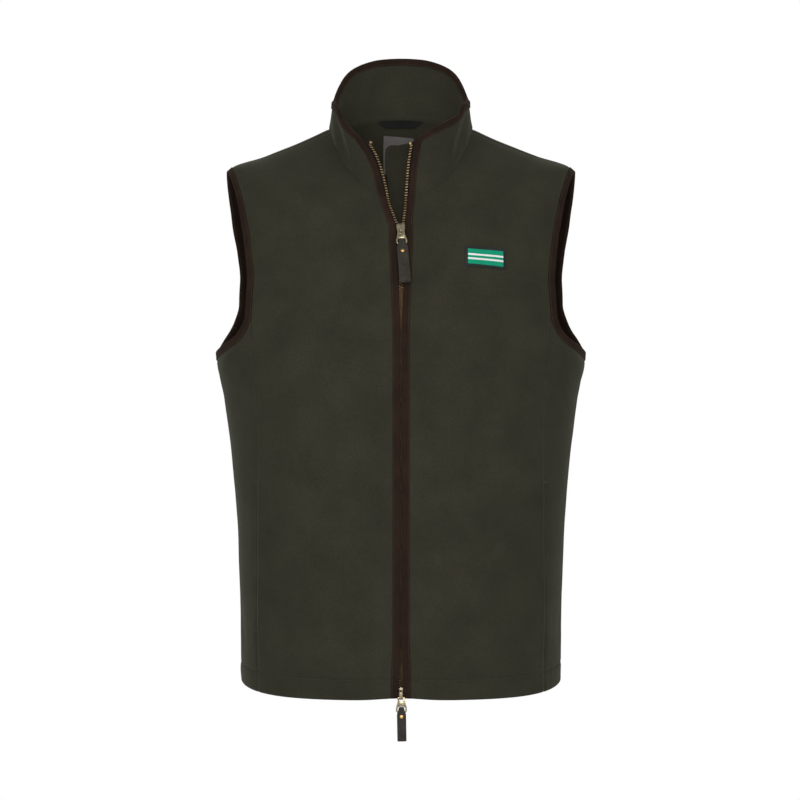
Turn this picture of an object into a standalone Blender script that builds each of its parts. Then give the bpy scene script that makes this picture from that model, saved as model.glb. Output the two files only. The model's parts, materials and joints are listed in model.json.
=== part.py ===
"""A stand-collar fleece gilet with a two-way metal zip, worn form with no wearer.

The garment hangs from the wearer's neck and shoulders. The origin is the middle of the neck, level with the
points where the collar meets the shoulders. +Z is up, -Y is the front, and +X is the wearer's left.
Every panel, binding and tape is a stretch of one cloth form: rings worked out from the tables below.
"""

import math
from collections import Counter

import bmesh
import bpy
import numpy as np
from mathutils import Matrix, Vector

MM = 0.001

# Cloth and sewing, in millimetres
CLOTH = 2.2
SEAM_GAP = 0.3
HEM_DEPTH = 23.0
HEM_LAYERS = 3.8
SKIN_GAP = 0.3
INSIDE_GAP = 0.8
BINDING_SKIN = 0.85
FOLD = 1.5
ARMHOLE_BINDING = 8.3
COLLAR_BINDING = 7.3
FRONT_BINDING = 7.6
V_BINDING = 6.0


def table(names, *rows):
    """Named columns of a short table, each as an array."""
    return dict(zip(names.split(), np.array(rows, float).T))


# Rings of the body in millimetres. Level runs up the side, over the armhole and along the shoulder.
BODY = table(
    "level half_width front back z_front z_side z_back squareness dip",
    (0, 193.5, 145, 118, -677, -668, -672, 2.45, 10.0),
    (72, 194.8, 146, 115, -602, -598, -600, 2.45, 4.0),
    (180, 198.0, 142, 108, -493, -491, -492, 2.4, 2.5),
    (270, 205.4, 138, 110, -402, -402, -402, 2.35, 2.5),
    (343, 214.6, 136, 116, -331, -329, -331, 2.3, 2.5),
    (392, 224.0, 134, 119, -286, -280, -284, 2.3, 2.5),
    (470, 222.0, 129, 121, -226, -202, -212, 2.3, 2.5),
    (550, 217.0, 122, 118, -178, -122, -147, 2.2, 2.5),
    (622, 211.0, 114, 109, -140, -51.0, -88, 2.1, 2.5),
    (668, 165.0, 108, 98, -121, -32.2, -46, 2.0, 2.5),
    (713, 120.0, 102, 85, -104, -14, -11, 2.0, 2.5),
    (748, 88.0, 97, 72, -89, 1, 22.5, 2.0, 2.5),
)
NECK = 748.0

# The collar's half-way ring and top ring in millimetres, and the height of its top edge on the wearer's left
# and right by how far forward it is (the cosine of the angle); its base is the neck seam.
COLLAR = table("half_width front back squareness", (85.0, 99, 77, 2.0), (83.5, 99, 80, 2.1))
COLLAR_TOP = table(
    "forward left right",
    (-1.0, 97.5, 97.5),
    (-0.93, 95, 95),
    (-0.86, 91.5, 91.5),
    (-0.76, 86, 86),
    (-0.65, 79, 79),
    (-0.54, 70, 70),
    (-0.42, 58, 58),
    (-0.3, 46.8, 46.8),
    (-0.2, 39.5, 38.5),
    (0.0, 34.5, 33.5),
    (0.25, 32, 30.5),
    (0.47, 25.5, 21),
    (0.6, 14.5, 8),
    (0.72, 6.6, -3),
    (0.83, -0.2, -13),
    (0.91, -7.2, -25),
    (0.96, -15, -27.5),
    (1.0, -28, -28),
)
COLLAR_SEAM = 0.35

# The zip's two rows of teeth: how far each is from the middle, how far beyond its row the binding's
# folded edge lies (less than 0 over the teeth), and how deep the teeth lie behind the cloth's face.
ZIP = table(
    "z right_row left_row fold depth",
    (-680, 1.65, 1.65, 0.9, -7.0),
    (-650, 1.65, 1.65, 0.6, -7.0),
    (-600, 1.65, 1.65, -0.75, -6.2),
    (-430, 1.65, 1.65, -0.75, -6.2),
    (-260, 1.65, 1.65, -0.75, -6.2),
    (-198, 1.65, 1.65, 0.8, -5.4),
    (-160, 1.65, 1.65, 2.6, -3.4),
    (-136, 1.65, 1.65, 3.8, -2.3),
    (-127, 2.4, 2.0, 3.6, -2.2),
    (-119, 6.0, 3.0, 2.6, -2.2),
    (-109, 9.6, 4.3, 2.4, -2.2),
    (-99, 13.6, 5.3, 2.4, -2.2),
    (-80, 17.9, 6.7, 3.0, -2.2),
    (-59, 23.2, 8.2, 2.9, -2.2),
    (-40, 30.1, 10.5, 3.6, -2.2),
    (-24, 39.6, 13.4, 3.0, -2.2),
    (-6, 52.0, 17.5, 3.4, -2.2),
)
BEAD_HALF_WIDTH = 1.5
BEAD_HALF_DEPTH = 1.3
TAPE = 0.8
TAPE_BEND = 3.5
TAPE_WIDTH = 12.0
TAPE_DEPTH = -4.3
TAPE_LEVELS = (3, 14, 30, 75, 180, 300, 400, 470, 520, 560, 590, 610, 622, 634, 648, 668, 700, 725, 748)
TAPE_RISES = (0, 0.2, 0.4, 0.6, 0.8, 0.97)

# The guard flap behind the zip: its free edge, and how far it lies behind the cloth's face
GUARD_EDGE = table(
    "z x",
    (-680, -15),
    (-130, -15),
    (-93, -16.2),
    (-78, -18.2),
    (-61, -20.6),
    (-45, -21.6),
    (-35, -21.3),
    (-31, -19.4),
    (-28, -14.5),
)
GUARD_LEVELS = (12, 80, 180, 300, 400, 470, 540, 600, 650, 700, 748)
GUARD_RISES = (0, 0.25, 0.5, 0.75, 0.9, 0.96, 1.0)
GUARD_COLUMNS = 4
GUARD_DEPTH = 9.3
GUARD = 1.6

# Small pieces of cloth: the loop and the label inside the back, placed by width and distance below the
# neck seam, and the patch on the chest, placed by its corners as seen from the front
LOOP_STRIP = table(
    "x top bottom",
    (-29, 0.8, 3),
    (-25, 0.8, 6),
    (-20, 0.8, 10.5),
    (18, 0.8, 10.5),
    (23, 0.8, 6),
    (27, 0.8, 3),
)
LOOP_CLOTH = 1.2
LABEL_CORNERS = table("x below", (16, 80), (-22, 77), (-22, 19.5), (16, 23))
LABEL_CLOTH = 0.6
PATCH_CORNERS = table("x z", (74.8, -172.7), (122.4, -176.6), (122.4, -152.0), (74.8, -148.7))
PATCH_GUESS = (math.radians(36), 560.0)
PATCH_CLOTH = 1.4
PATCH_RIM = 3.2
FIELD_CLOTH = 0.4

# Sliders and pulls: heights of the sliders on the zip, and every other size from the slider's middle,
# with x across, u up the zip and h out of the cloth
SLIDERS = table(
    "z x half_width front_low front_high back_high bail_half_width tilt",
    (-128.5, -0.3, 5.0, -0.4, 0.9, -4.0, 1.6, -4.7),
    (-669.5, 0.2, 3.9, -5.3, -4.2, -8.8, 1.45, -1.0),
)
TABS = table(
    "tab_half_width tab_shoulder rivet tab_end",
    (6.5, -21.5, -26.6, -66.0),
    (5.3, -19.5, -22.0, -50.5),
)
SLIDER_HALF_LENGTH = 6.5
PLATE = 1.1
BAIL_TOP = 6.2
BAIL = 1.1
BAIL_ENDS = (-5.5, 4.5)
PIN_U = -3.1
PIN_H = 4.0
PULLER_HALF = 0.7
PULLER_OUTLINE = ((4.3, 0.55), (4.3, -5.0), (6.4, -12.0), (6.4, -15.8), (5.2, -17.3))
BAIL_HOLE = ((2.3, -0.55), (2.3, -4.6))
TAB_HOLE = ((3.2, -10.4), (4.5, -12.4), (4.5, -15.4))
LEATHER = 1.3
TAB_TOP = ((3.0, -11.2), (3.4, -14.2))
TAB_LINK = (2.9, -14.9, -11.2)
RIVET_RADIUS = 2.5
RIVET_HEAD = 0.9
RIVET_CAP = 0.5
SHANK_RADIUS = 1.0
OVERLAP = 0.2
BACK_HALF_WIDTH = 3.6
POST_HALF_WIDTH = 0.8
POST_LENGTH = 1.3
TAB_TIP = (1.2, 1.6)
TAB_HEM = (0.5, 2.2)

# Armhole edge of the cloth: its highest and lowest points as angle and level, and between them its
# front edge and back edge as seen from the front, by half width and height
SHOULDER_TIP = (math.radians(88), 622.0)
UNDERARM_SPOT = (math.pi / 2, 399.0)
ARMHOLE_FRONT = table(
    "x z",
    (206.5, -57),
    (201.3, -70),
    (194.5, -93),
    (185.2, -144),
    (181.2, -195),
    (183.6, -229),
    (197.0, -254),
)
ARMHOLE_BACK = table(
    "x z",
    (213.2, -248),
    (205.2, -230),
    (200.4, -210),
    (199.4, -183),
    (202.0, -148),
    (206.2, -122),
    (209.6, -92),
)
# Seams: half widths of the side-front seam, and the angles of the others from the middle of the front.
# The shoulder seam ends at the armhole's highest point.
SIDE_FRONT_SEAM = table("level x", (0, 169.5), (200, 170), (343, 170), (420, 177))
SIDE_BACK_SEAM = math.radians(107)
SHOULDER_SEAM = table("level degrees", (622, 88), (650, 84), (690, 80.5), (748, 79))
CENTRE_BACK = math.pi
FRONT_HEM_LIFT = 3.0
LIFT_REACH = 30.0
LIFT_HEIGHT = 70.0


def smooth(knots, values, at):
    """A curve through the values that turns only where they do, read at the places asked for."""
    rises = np.diff(values) / np.diff(knots)
    product, total = rises[:-1] * rises[1:], rises[:-1] + rises[1:]
    inner = np.where(product > 0, 2 * product / np.where(product > 0, total, 1), 0)
    slopes = np.concatenate([rises[:1], inner, rises[-1:]])
    at = np.asarray(at, float)
    i = np.clip(np.searchsorted(knots, at) - 1, 0, len(knots) - 2)
    width = knots[i + 1] - knots[i]
    t = (at - knots[i]) / width
    rise = t * t * (3 - 2 * t)
    start = t * (1 - t) ** 2
    end = t * t * (t - 1)
    return values[i] * (1 - rise) + values[i + 1] * rise + width * (slopes[i] * start + slopes[i + 1] * end)


def ring_point(ring, angle, z):
    """Points on a ring, in millimetres; the angle is 0 at the middle of the front and a right angle at +X."""
    s, c = np.sin(angle), np.cos(angle)
    n = ring["squareness"]
    depth = np.where(c >= 0, ring["front"], ring["back"])
    reach = (np.abs(s / ring["half_width"]) ** n + np.abs(c / depth) ** n) ** (-1 / n)
    return np.stack([reach * s, -reach * c, z], -1)


def body(angle, level):
    """Points on the outer face of the body's cloth, in millimetres."""
    ring = {name: smooth(BODY["level"], BODY[name], level) for name in BODY}
    end = np.where(np.cos(angle) >= 0, ring["z_front"], ring["z_back"])
    share = 1 - np.abs(np.sin(angle)) ** ring["dip"]
    points = ring_point(ring, angle, ring["z_side"] + (end - ring["z_side"]) * share)
    near_hem = np.clip(1 - np.asarray(level) / LIFT_HEIGHT, 0, 1) ** 2
    ahead = np.cos(angle) > 0
    points[..., 2] += FRONT_HEM_LIFT * near_hem * ahead * np.exp(-((points[..., 0] / LIFT_REACH) ** 2))
    return points


def collar(angle, rise):
    """Points on the outer face of the collar; rise is 0 at the neck seam and 1 at the top edge."""
    up = body(angle, NECK) - body(angle, NECK - 1.0)
    up /= np.linalg.norm(up, axis=-1, keepdims=True)
    base = body(angle, NECK) + COLLAR_SEAM * up
    rings = [{name: COLLAR[name][k] for name in COLLAR} for k in (0, 1)]
    heights = [smooth(COLLAR_TOP["forward"], COLLAR_TOP[side], np.cos(angle)) for side in ("left", "right")]
    top_z = np.where(np.sin(angle) > 0, *heights)
    middle = ring_point(rings[0], angle, (base[..., 2] + top_z) / 2)
    top = ring_point(rings[1], angle, top_z)
    u = np.asarray(rise, float)[..., None]
    return base * (1 - u) * (1 - 2 * u) + middle * 4 * u * (1 - u) + top * u * (2 * u - 1)


def slopes_of(form, angle, level):
    """How the form's points move with the angle and with the level."""
    small = 1e-4 if form is body else 1e-5
    step = 0.05 if form is body else 0.002
    across = (form(angle + small, level) - form(angle - small, level)) / (2 * small)
    up = (form(angle, level + step) - form(angle, level - step)) / (2 * step)
    return across, up


def normal(form, angle, level):
    """Unit vectors out of the cloth."""
    across, up = slopes_of(form, angle, level)
    out = np.cross(across, up)
    return out / np.linalg.norm(out, axis=-1, keepdims=True)


def offset(form, pattern, distance):
    """Points off the form's face by a distance in millimetres; pattern holds angle and level."""
    angle, level = pattern[..., 0], pattern[..., 1]
    distance = np.broadcast_to(np.asarray(distance, float), angle.shape)[..., None]
    return form(angle, level) + distance * normal(form, angle, level)


def walk(form, pattern, direction, distance, steps=4):
    """Moves pattern points over the form, along a direction in space, by a distance in millimetres."""
    pattern = np.array(pattern, float)
    for _ in range(steps):
        across, up = slopes_of(form, pattern[..., 0], pattern[..., 1])
        frame = np.stack([across, up], -1)
        move = np.linalg.pinv(frame) @ (direction * distance / steps)[..., None]
        pattern += move[..., 0]
    return pattern


def find(form, x, z, angle, level):
    """The pattern point that the front view shows at x and z, from a first guess of its angle and level."""
    spot = np.array([angle, level], float)
    for _ in range(40):
        across, up = slopes_of(form, spot[0], spot[1])
        miss = np.array([x, z]) - form(spot[0], spot[1])[[0, 2]]
        frame = np.array([[across[0], up[0]], [across[2], up[2]]])
        move = np.linalg.solve(frame, miss)
        spot += move * min(1.0, 0.3 / (abs(move[0]) + 1e-9), 40.0 / (abs(move[1]) + 1e-9))
    return spot


def angle_where(form, level, half_width, low=0.0, high=math.radians(89), side=1):
    """The angle between low and high, toward one side, at which the form is half_width(z) from the middle."""
    low, high = np.full(np.shape(level), low), np.full(np.shape(level), high)
    for _ in range(50):
        middle = (low + high) / 2
        point = form(side * middle, level)
        inside = side * point[..., 0] < half_width(point[..., 2])
        low, high = np.where(inside, middle, low), np.where(inside, high, middle)
    return (low + high) / 2


def armhole_loop(count=240):
    """The cloth's armhole edge and, the binding's width into the cloth, its inner line, as pattern points."""
    level = lambda z: np.interp(z, BODY["z_side"], BODY["level"])
    front, back = (
        [find(body, x, z, math.radians(guess), level(z)) for x, z in zip(edge["x"], edge["z"])]
        for edge, guess in ((ARMHOLE_FRONT, 66), (ARMHOLE_BACK, 108))
    )
    spots = np.array([SHOULDER_TIP, *front, UNDERARM_SPOT, *back])
    lap = 3
    around = np.vstack([spots[-lap:], spots, spots[:lap]])
    points = body(around[:, 0], around[:, 1])
    run = np.concatenate([[0], np.cumsum(np.linalg.norm(np.diff(points, axis=0), axis=1))])
    start, end = run[lap], run[lap + len(spots)]
    s = np.linspace(start, end, count, endpoint=False)
    edge = np.stack([smooth(run, around[:, 0], s), smooth(run, around[:, 1], s)], -1)
    points = body(edge[:, 0], edge[:, 1])
    along = np.roll(points, -1, 0) - np.roll(points, 1, 0)
    away = np.cross(along, normal(body, edge[:, 0], edge[:, 1]))
    away /= np.linalg.norm(away, axis=1, keepdims=True)
    if (away[:, 1] * (points[:, 1] - points[:, 1].mean())).sum() < 0:
        away = -away
    inner = walk(body, edge, away, ARMHOLE_BINDING)
    return edge, inner


ARMHOLE_EDGE, ARMHOLE_INNER = armhole_loop()


def on_loop(loop, s):
    """Pattern points of a closed loop at places counted in its own points."""
    s = np.asarray(s, float)
    turns = len(loop)
    wrapped = np.vstack([loop, loop, loop])
    places = np.arange(3 * turns) - turns
    return np.stack([np.interp(s, places, wrapped[:, k]) for k in (0, 1)], -1)


def loop_crossing(function, low, high):
    """The place on the loop, between low and high, at which the function of a pattern point is 0."""
    sign = np.sign(function(on_loop(ARMHOLE_INNER, high)))
    for _ in range(50):
        middle = (low + high) / 2
        if np.sign(function(on_loop(ARMHOLE_INNER, middle))) == sign:
            high = middle
        else:
            low = middle
    return (low + high) / 2


def seam_angle(level):
    """The side-front seam's angle at a level."""
    x = smooth(SIDE_FRONT_SEAM["level"], SIDE_FRONT_SEAM["x"], np.minimum(level, 420))
    return angle_where(body, level, lambda z: x)


def shoulder_angle(level):
    """The shoulder seam's angle at a level."""
    return np.radians(smooth(SHOULDER_SEAM["level"], SHOULDER_SEAM["degrees"], np.maximum(level, 622)))


# Places where the seams meet the armhole's inner line, and how many rows each stretch has
LOOP = len(ARMHOLE_EDGE)
UNDERARM = float(np.argmin(ARMHOLE_EDGE[:, 1]))
AT_FRONT_SEAM = loop_crossing(lambda p: p[0] - seam_angle(p[1]), UNDERARM * 0.6, UNDERARM)
AT_BACK_SEAM = loop_crossing(lambda p: p[0] - SIDE_BACK_SEAM, UNDERARM, UNDERARM + LOOP * 0.2)
AT_SHOULDER = loop_crossing(lambda p: p[0] - shoulder_angle(p[1]), -LOOP * 0.05, LOOP * 0.05)
ARMHOLE_ROWS = 18
TOWARD_TIP = 1.3
SIDE_COLUMNS = 8
SHOULDER_ROWS = 9
FRONT_COLUMNS = 8
BACK_COLUMNS = 9
HEM_STEP = 1.5
STRAIGHT_LEVELS = np.array([0, HEM_DEPTH, HEM_DEPTH + HEM_STEP, 90, 160, 230, 295])
UPPER_SIDE_ROWS = 2
X_LIMIT = math.radians(60)


def spaced(low, high, count):
    """Even places from low to high, with both ends."""
    return np.linspace(low, high, count + 1)


def armhole_places(seam, shoulder):
    """Places on the armhole from a side seam to the shoulder seam, closer together near the tip."""
    return shoulder - (shoulder - seam) * (1 - spaced(0, 1, ARMHOLE_ROWS)) ** TOWARD_TIP


def seam_levels(top):
    """Levels of the rows below an armhole, shared by the two panels that meet there."""
    return np.concatenate([STRAIGHT_LEVELS, spaced(STRAIGHT_LEVELS[-1], top, UPPER_SIDE_ROWS)[1:]])


def half_gap(form, pattern, sign):
    """Pattern points moved half a seam's gap along the ring."""
    across, _ = slopes_of(form, pattern[..., 0], pattern[..., 1])
    moved = pattern.copy()
    moved[..., 0] += sign * SEAM_GAP / 2 / np.linalg.norm(across, axis=-1)
    return moved


def ruled(starts, ends, shares):
    """A grid of pattern points between two chains."""
    shares = np.asarray(shares)[None, :, None]
    return starts[:, None, :] * (1 - shares) + ends[:, None, :] * shares


def zip_value(name, z):
    return smooth(ZIP["z"], ZIP[name], np.clip(z, ZIP["z"][0], ZIP["z"][-1]))


def front_width(z):
    """Width of the front binding at a height: narrower beside the open zip."""
    return np.interp(z, [-150, -110], [FRONT_BINDING, V_BINDING])


def front_chain(form, side, levels):
    """The cloth's edge beside the zip and the binding's inner line, with positive angles."""
    row = "left_row" if side > 0 else "right_row"
    edge_x = lambda z: zip_value(row, z) + zip_value("fold", z) + FOLD
    inner_x = lambda z: edge_x(z) + front_width(z)
    levels = np.asarray(levels, float)
    angles = [angle_where(form, levels, x, 0.0, X_LIMIT, side) for x in (edge_x, inner_x)]
    return [np.stack([angle, levels], -1) for angle in angles]


def front_rows(side):
    """Rows of a front panel: points at the zip edge, its binding line, the outer end and the armhole."""
    low = seam_levels(on_loop(ARMHOLE_INNER, AT_FRONT_SEAM)[1])
    places = armhole_places(AT_FRONT_SEAM, AT_SHOULDER)
    arm = on_loop(ARMHOLE_INNER, places)
    top = spaced(arm[-1, 1], NECK, SHOULDER_ROWS)[1:]
    seam = np.stack([seam_angle(low), low], -1)
    shoulder = np.stack([shoulder_angle(top), top], -1)
    ends = np.vstack([seam[:-1], arm, shoulder])
    edge, inner = front_chain(body, side, ends[:, 1])
    return edge, inner, half_gap(body, ends, -1), on_loop(ARMHOLE_EDGE, places), len(low) - 1


def back_rows():
    """Rows of half the back: points at the side or armhole, the armhole's edge and the centre back."""
    low = seam_levels(on_loop(ARMHOLE_INNER, AT_BACK_SEAM)[1])
    places = armhole_places(AT_BACK_SEAM, AT_SHOULDER + LOOP)
    arm = on_loop(ARMHOLE_INNER, places)
    top = spaced(arm[-1, 1], NECK, SHOULDER_ROWS)[1:]
    seam = np.stack([np.full(len(low), SIDE_BACK_SEAM), low], -1)
    shoulder = np.stack([shoulder_angle(top), top], -1)
    ends = np.vstack([seam[:-1], arm, shoulder])
    centre = np.stack([np.full(len(ends), CENTRE_BACK), ends[:, 1]], -1)
    return half_gap(body, ends, 1), on_loop(ARMHOLE_EDGE, places), centre, len(low) - 1


# Materials: colour, roughness, metallic
MATERIALS = {
    "fleece": ((0.035, 0.036, 0.024), 0.95, 0.0),
    "binding": ((0.028, 0.015, 0.010), 0.85, 0.0),
    "tape": ((0.012, 0.012, 0.011), 0.9, 0.0),
    "brass": ((0.45, 0.31, 0.15), 0.4, 1.0),
    "slider": ((0.62, 0.58, 0.48), 0.35, 1.0),
    "leather": ((0.045, 0.036, 0.030), 0.6, 0.0),
    "label": ((0.11, 0.105, 0.10), 0.7, 0.0),
    "patch": ((0.015, 0.018, 0.019), 0.6, 0.0),
    "patch_green": ((0.0, 0.24, 0.14), 0.55, 0.0),
}


def clear_scene():
    for thing in list(bpy.data.objects):
        bpy.data.objects.remove(thing)


def material(name):
    found = bpy.data.materials.get(name)
    if found:
        return found
    colour, roughness, metallic = MATERIALS[name]
    made = bpy.data.materials.new(name)
    made.use_nodes = True
    shader = made.node_tree.nodes["Principled BSDF"]
    shader.inputs["Base Color"].default_value = (*colour, 1)
    shader.inputs["Roughness"].default_value = roughness
    shader.inputs["Metallic"].default_value = metallic
    made.diffuse_color = (*colour, 1)
    return made


def collection(name):
    made = bpy.data.collections.new(name)
    bpy.context.scene.collection.children.link(made)
    return made


def solid(name, points, faces, finish, home):
    """An object from points in millimetres and faces, with its faces turned outwards and shaded smooth."""
    mesh = bpy.data.meshes.new(name)
    mesh.from_pydata([tuple(p) for p in np.asarray(points) * MM], [], faces)
    shape = bmesh.new()
    shape.from_mesh(mesh)
    bmesh.ops.recalc_face_normals(shape, faces=shape.faces)
    shape.to_mesh(mesh)
    shape.free()
    mesh.shade_smooth()
    mesh.set_sharp_from_angle(angle=math.radians(40))
    made = bpy.data.objects.new(name, mesh)
    made.data.materials.append(material(finish))
    home.objects.link(made)
    return made


def wall(name, form, patches, outer, inner, finish, home):
    """A closed wall over grids of pattern points, which share the points where they meet."""
    ids = {}
    quads = []
    for grid in patches:
        rows = [[ids.setdefault(tuple(np.round(p, 5)), len(ids)) for p in row] for row in grid]
        for low, high in zip(rows, rows[1:]):
            quads += [(low[c], low[c + 1], high[c + 1], high[c]) for c in range(len(low) - 1)]
    pattern = np.array(list(ids))
    count = len(pattern)
    depth = inner(pattern) if callable(inner) else inner
    points = np.vstack([offset(form, pattern, outer), offset(form, pattern, depth)])
    uses = Counter(tuple(sorted((q[k], q[k - 1]))) for q in quads for k in range(4))
    rim = [(a, b, b + count, a + count) for (a, b), times in uses.items() if times == 1]
    faces = quads + [tuple(v + count for v in reversed(q)) for q in quads] + rim
    return solid(name, points, faces, finish, home)


def sweep(name, sections, closed, finish, home):
    """A closed body through sections of points, joined end to end or capped."""
    sections = np.asarray(sections)
    stations, corners = sections.shape[:2]
    faces = []
    for i in range(stations if closed else stations - 1):
        j = (i + 1) % stations
        for a in range(corners):
            b = (a + 1) % corners
            faces.append((i * corners + a, i * corners + b, j * corners + b, j * corners + a))
    if not closed:
        faces += [tuple(range(corners)), tuple(range((stations - 1) * corners, stations * corners))]
    return solid(name, sections.reshape(-1, 3), faces, finish, home)


def binding_sections(form, edge, inner):
    """U-shaped sections of binding folded round a cloth's edge, from its edge and inner line."""
    e, i = offset(form, edge, 0), offset(form, inner, 0)
    at_edge = normal(form, edge[..., 0], edge[..., 1])
    at_inner = normal(form, inner[..., 0], inner[..., 1])
    out = e - i
    out /= np.linalg.norm(out, axis=-1, keepdims=True)
    face, back = SKIN_GAP, -CLOTH - SKIN_GAP
    top, bottom = face + BINDING_SKIN, back - BINDING_SKIN
    crown = (e + i) / 2 + (at_edge + at_inner) / 2 * (top + 0.25)
    rounding = 0.4
    return np.stack(
        [
            i + at_inner * face,
            i + at_inner * (top - 0.15),
            crown,
            e + out * rounding + at_edge * top,
            e + out * FOLD + at_edge * (face - rounding),
            e + out * FOLD + at_edge * (back + rounding),
            e + out * rounding + at_edge * bottom,
            i + at_inner * (bottom + 0.15),
            i + at_inner * back,
            e + out * (FOLD - BINDING_SKIN - SKIN_GAP) + at_edge * back,
            e + out * (FOLD - BINDING_SKIN - SKIN_GAP) + at_edge * face,
        ],
        -2,
    )


def over_neck_seam(lower, upper):
    """Sections of a piece that runs up from the body on to the collar; it bends once, at the neck seam."""
    return np.concatenate([lower[:-1], (lower[-1:] + upper[:1]) / 2, upper[1:]])


def mirrored(pattern, side):
    """Pattern points for the wearer's left (1) or right (-1)."""
    return pattern * np.array([side, 1.0])


def cloth_depth(pattern):
    """Inner face of the body's cloth: two layers in the hem, away from the zip."""
    away = np.abs(pattern[:, 0]) > math.radians(8)
    turned_up = (pattern[:, 1] < HEM_DEPTH + HEM_STEP / 2) & away
    return np.where(turned_up, -HEM_LAYERS, -CLOTH)


def build_front(side, home):
    name = "left" if side > 0 else "right"
    edge, inner, ends, armhole, first = front_rows(side)
    columns = ruled(inner, ends, spaced(0, 1, FRONT_COLUMNS))
    strip = np.stack([ends[first : first + ARMHOLE_ROWS + 1], armhole], 1)
    strip[[0, -1], 1] = half_gap(body, strip[[0, -1], 1], -1)
    patches = [np.stack([edge, inner], 1), columns, strip]
    wall(f"front_{name}", body, [mirrored(p, side) for p in patches], 0, cloth_depth, "fleece", home)


def build_back(home):
    ends, armhole, centre, first = back_rows()
    columns = ruled(ends, centre, spaced(0, 1, BACK_COLUMNS))
    strip = np.stack([armhole, ends[first : first + ARMHOLE_ROWS + 1]], 1)
    strip[[0, -1], 0] = half_gap(body, strip[[0, -1], 0], 1)
    whole = lambda p: np.array([2 * math.pi, 0]) + p * np.array([-1, 1])
    patches = [columns, strip, whole(columns), whole(strip)]
    wall("back", body, patches, 0, cloth_depth, "fleece", home)


def side_places():
    """Places of the side panel's columns on the armhole's inner line, front to back."""
    return spaced(AT_FRONT_SEAM, AT_BACK_SEAM, SIDE_COLUMNS)


def build_side(side, home):
    name = "left" if side > 0 else "right"
    places = side_places()
    tops = on_loop(ARMHOLE_INNER, places)
    edge = on_loop(ARMHOLE_EDGE, places)
    columns = []
    for share, top in zip(spaced(0, 1, SIDE_COLUMNS), tops):
        levels = seam_levels(top[1])
        angle = seam_angle(levels) * (1 - share) + SIDE_BACK_SEAM * share
        toward_top = np.clip((levels - STRAIGHT_LEVELS[2]) / (top[1] - STRAIGHT_LEVELS[2]), 0, 1) ** 2
        angle += (top[0] - angle[-1]) * toward_top
        columns.append(np.stack([angle, levels], -1))
    grid = np.stack(columns, 1)
    strip = np.stack([edge, grid[-1]], 0)
    for part in (grid, strip):
        part[:, 0] = half_gap(body, part[:, 0], 1)
        part[:, -1] = half_gap(body, part[:, -1], -1)
    wall(f"side_{name}", body, [mirrored(grid, side), mirrored(strip, side)], 0, cloth_depth, "fleece", home)


def build_armhole_binding(side, home):
    name = "left" if side > 0 else "right"
    front = armhole_places(AT_FRONT_SEAM, AT_SHOULDER)[::-1]
    back = armhole_places(AT_BACK_SEAM, AT_SHOULDER + LOOP)
    places = np.concatenate([front[:-1], side_places()[:-1], back[:-1]])
    edge, inner = on_loop(ARMHOLE_EDGE, places), on_loop(ARMHOLE_INNER, places)
    sections = binding_sections(body, mirrored(edge, side), mirrored(inner, side))
    sweep(f"armhole_binding_{name}", sections, True, "binding", home)


# The collar's rows, and the corner points that the front and top bindings share
COLLAR_RISES = np.array([0.0, 0.3, 0.6])
CORNER_CUT = {1: 0.8, -1: 2.0}
FAN = 0.8


def collar_half(side):
    """Pattern grid of half the collar, zip edge to centre back, with the columns of the panels below."""
    height = np.linalg.norm(collar(side * 0.3, 1.0) - collar(side * 0.3, 0.0))
    rises = np.append(COLLAR_RISES, [1 - COLLAR_BINDING / height, 1.0])
    edge, inner = front_chain(collar, side, rises)
    _, panel_inner, panel_end, *_ = front_rows(side)
    ahead = spaced(panel_inner[-1, 0], panel_end[-1, 0], FRONT_COLUMNS)
    behind = spaced(shoulder_angle(NECK), CENTRE_BACK, BACK_COLUMNS)
    angles = np.concatenate([ahead[:-1], behind])
    shares = (angles - angles[0]) / (CENTRE_BACK - angles[0])
    centre = np.stack([np.full(len(rises), CENTRE_BACK), rises], -1)
    return np.concatenate([edge[:, None], ruled(inner, centre, shares)], 1)


def collar_grid():
    """The collar's pattern grid from the wearer's left end round the back to the right end."""
    left, right = collar_half(1), collar_half(-1)
    round_back = right[:, -2::-1] * np.array([-1, 1]) + np.array([2 * math.pi, 0])
    grid = np.concatenate([left, round_back], 1)
    middle = grid[:, 1:-1]
    angles = middle[-1, :, 0]
    rise = collar(angles, np.ones_like(angles)) - collar(angles, np.zeros_like(angles))
    middle[-2, :, 1] = 1 - COLLAR_BINDING / np.linalg.norm(rise, axis=-1)
    grid[-2, 0, 1], grid[-2, -1, 1] = grid[-2, 1, 1], grid[-2, -2, 1]
    for end, side in ((0, 1), (-1, -1)):
        corner = grid[-1, end]
        toward = collar(*grid[-2, end + side]) - collar(*corner)
        toward /= np.linalg.norm(toward)
        grid[-1, end] = walk(collar, corner, toward, CORNER_CUT[side])
    return grid


def build_collar(home):
    grid = collar_grid()
    right_end = grid[:, :-3:-1]
    wall("collar", collar, [grid[:, :-1], right_end], 0, -CLOTH, "fleece", home)
    edge, inner = grid[-1].copy(), grid[-2].copy()
    inner[0], inner[-1] = inner[1], inner[-2]
    fan(inner, edge)
    sections = binding_sections(collar, edge, inner)
    sections[0], sections[-1] = mitre(sections[0], sections[1]), mitre(sections[-1], sections[-2])
    sweep("collar_binding", sections[::-1], False, "binding", home)


def fan(inner, edge):
    """Parts the inner points of the stations that share a corner, so that no section is folded flat."""
    for end, step in ((0, 1), (-1, -1)):
        across, _ = slopes_of(collar, edge[end, 0], edge[end, 1])
        inner[end + step, 0] += step * FAN / np.linalg.norm(across)


def mitre(section, neighbour):
    """A mitred end, drawn back half a seam's gap towards its neighbour."""
    along = (neighbour - section).mean(0)
    return section + along / np.linalg.norm(along) * SEAM_GAP


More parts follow.
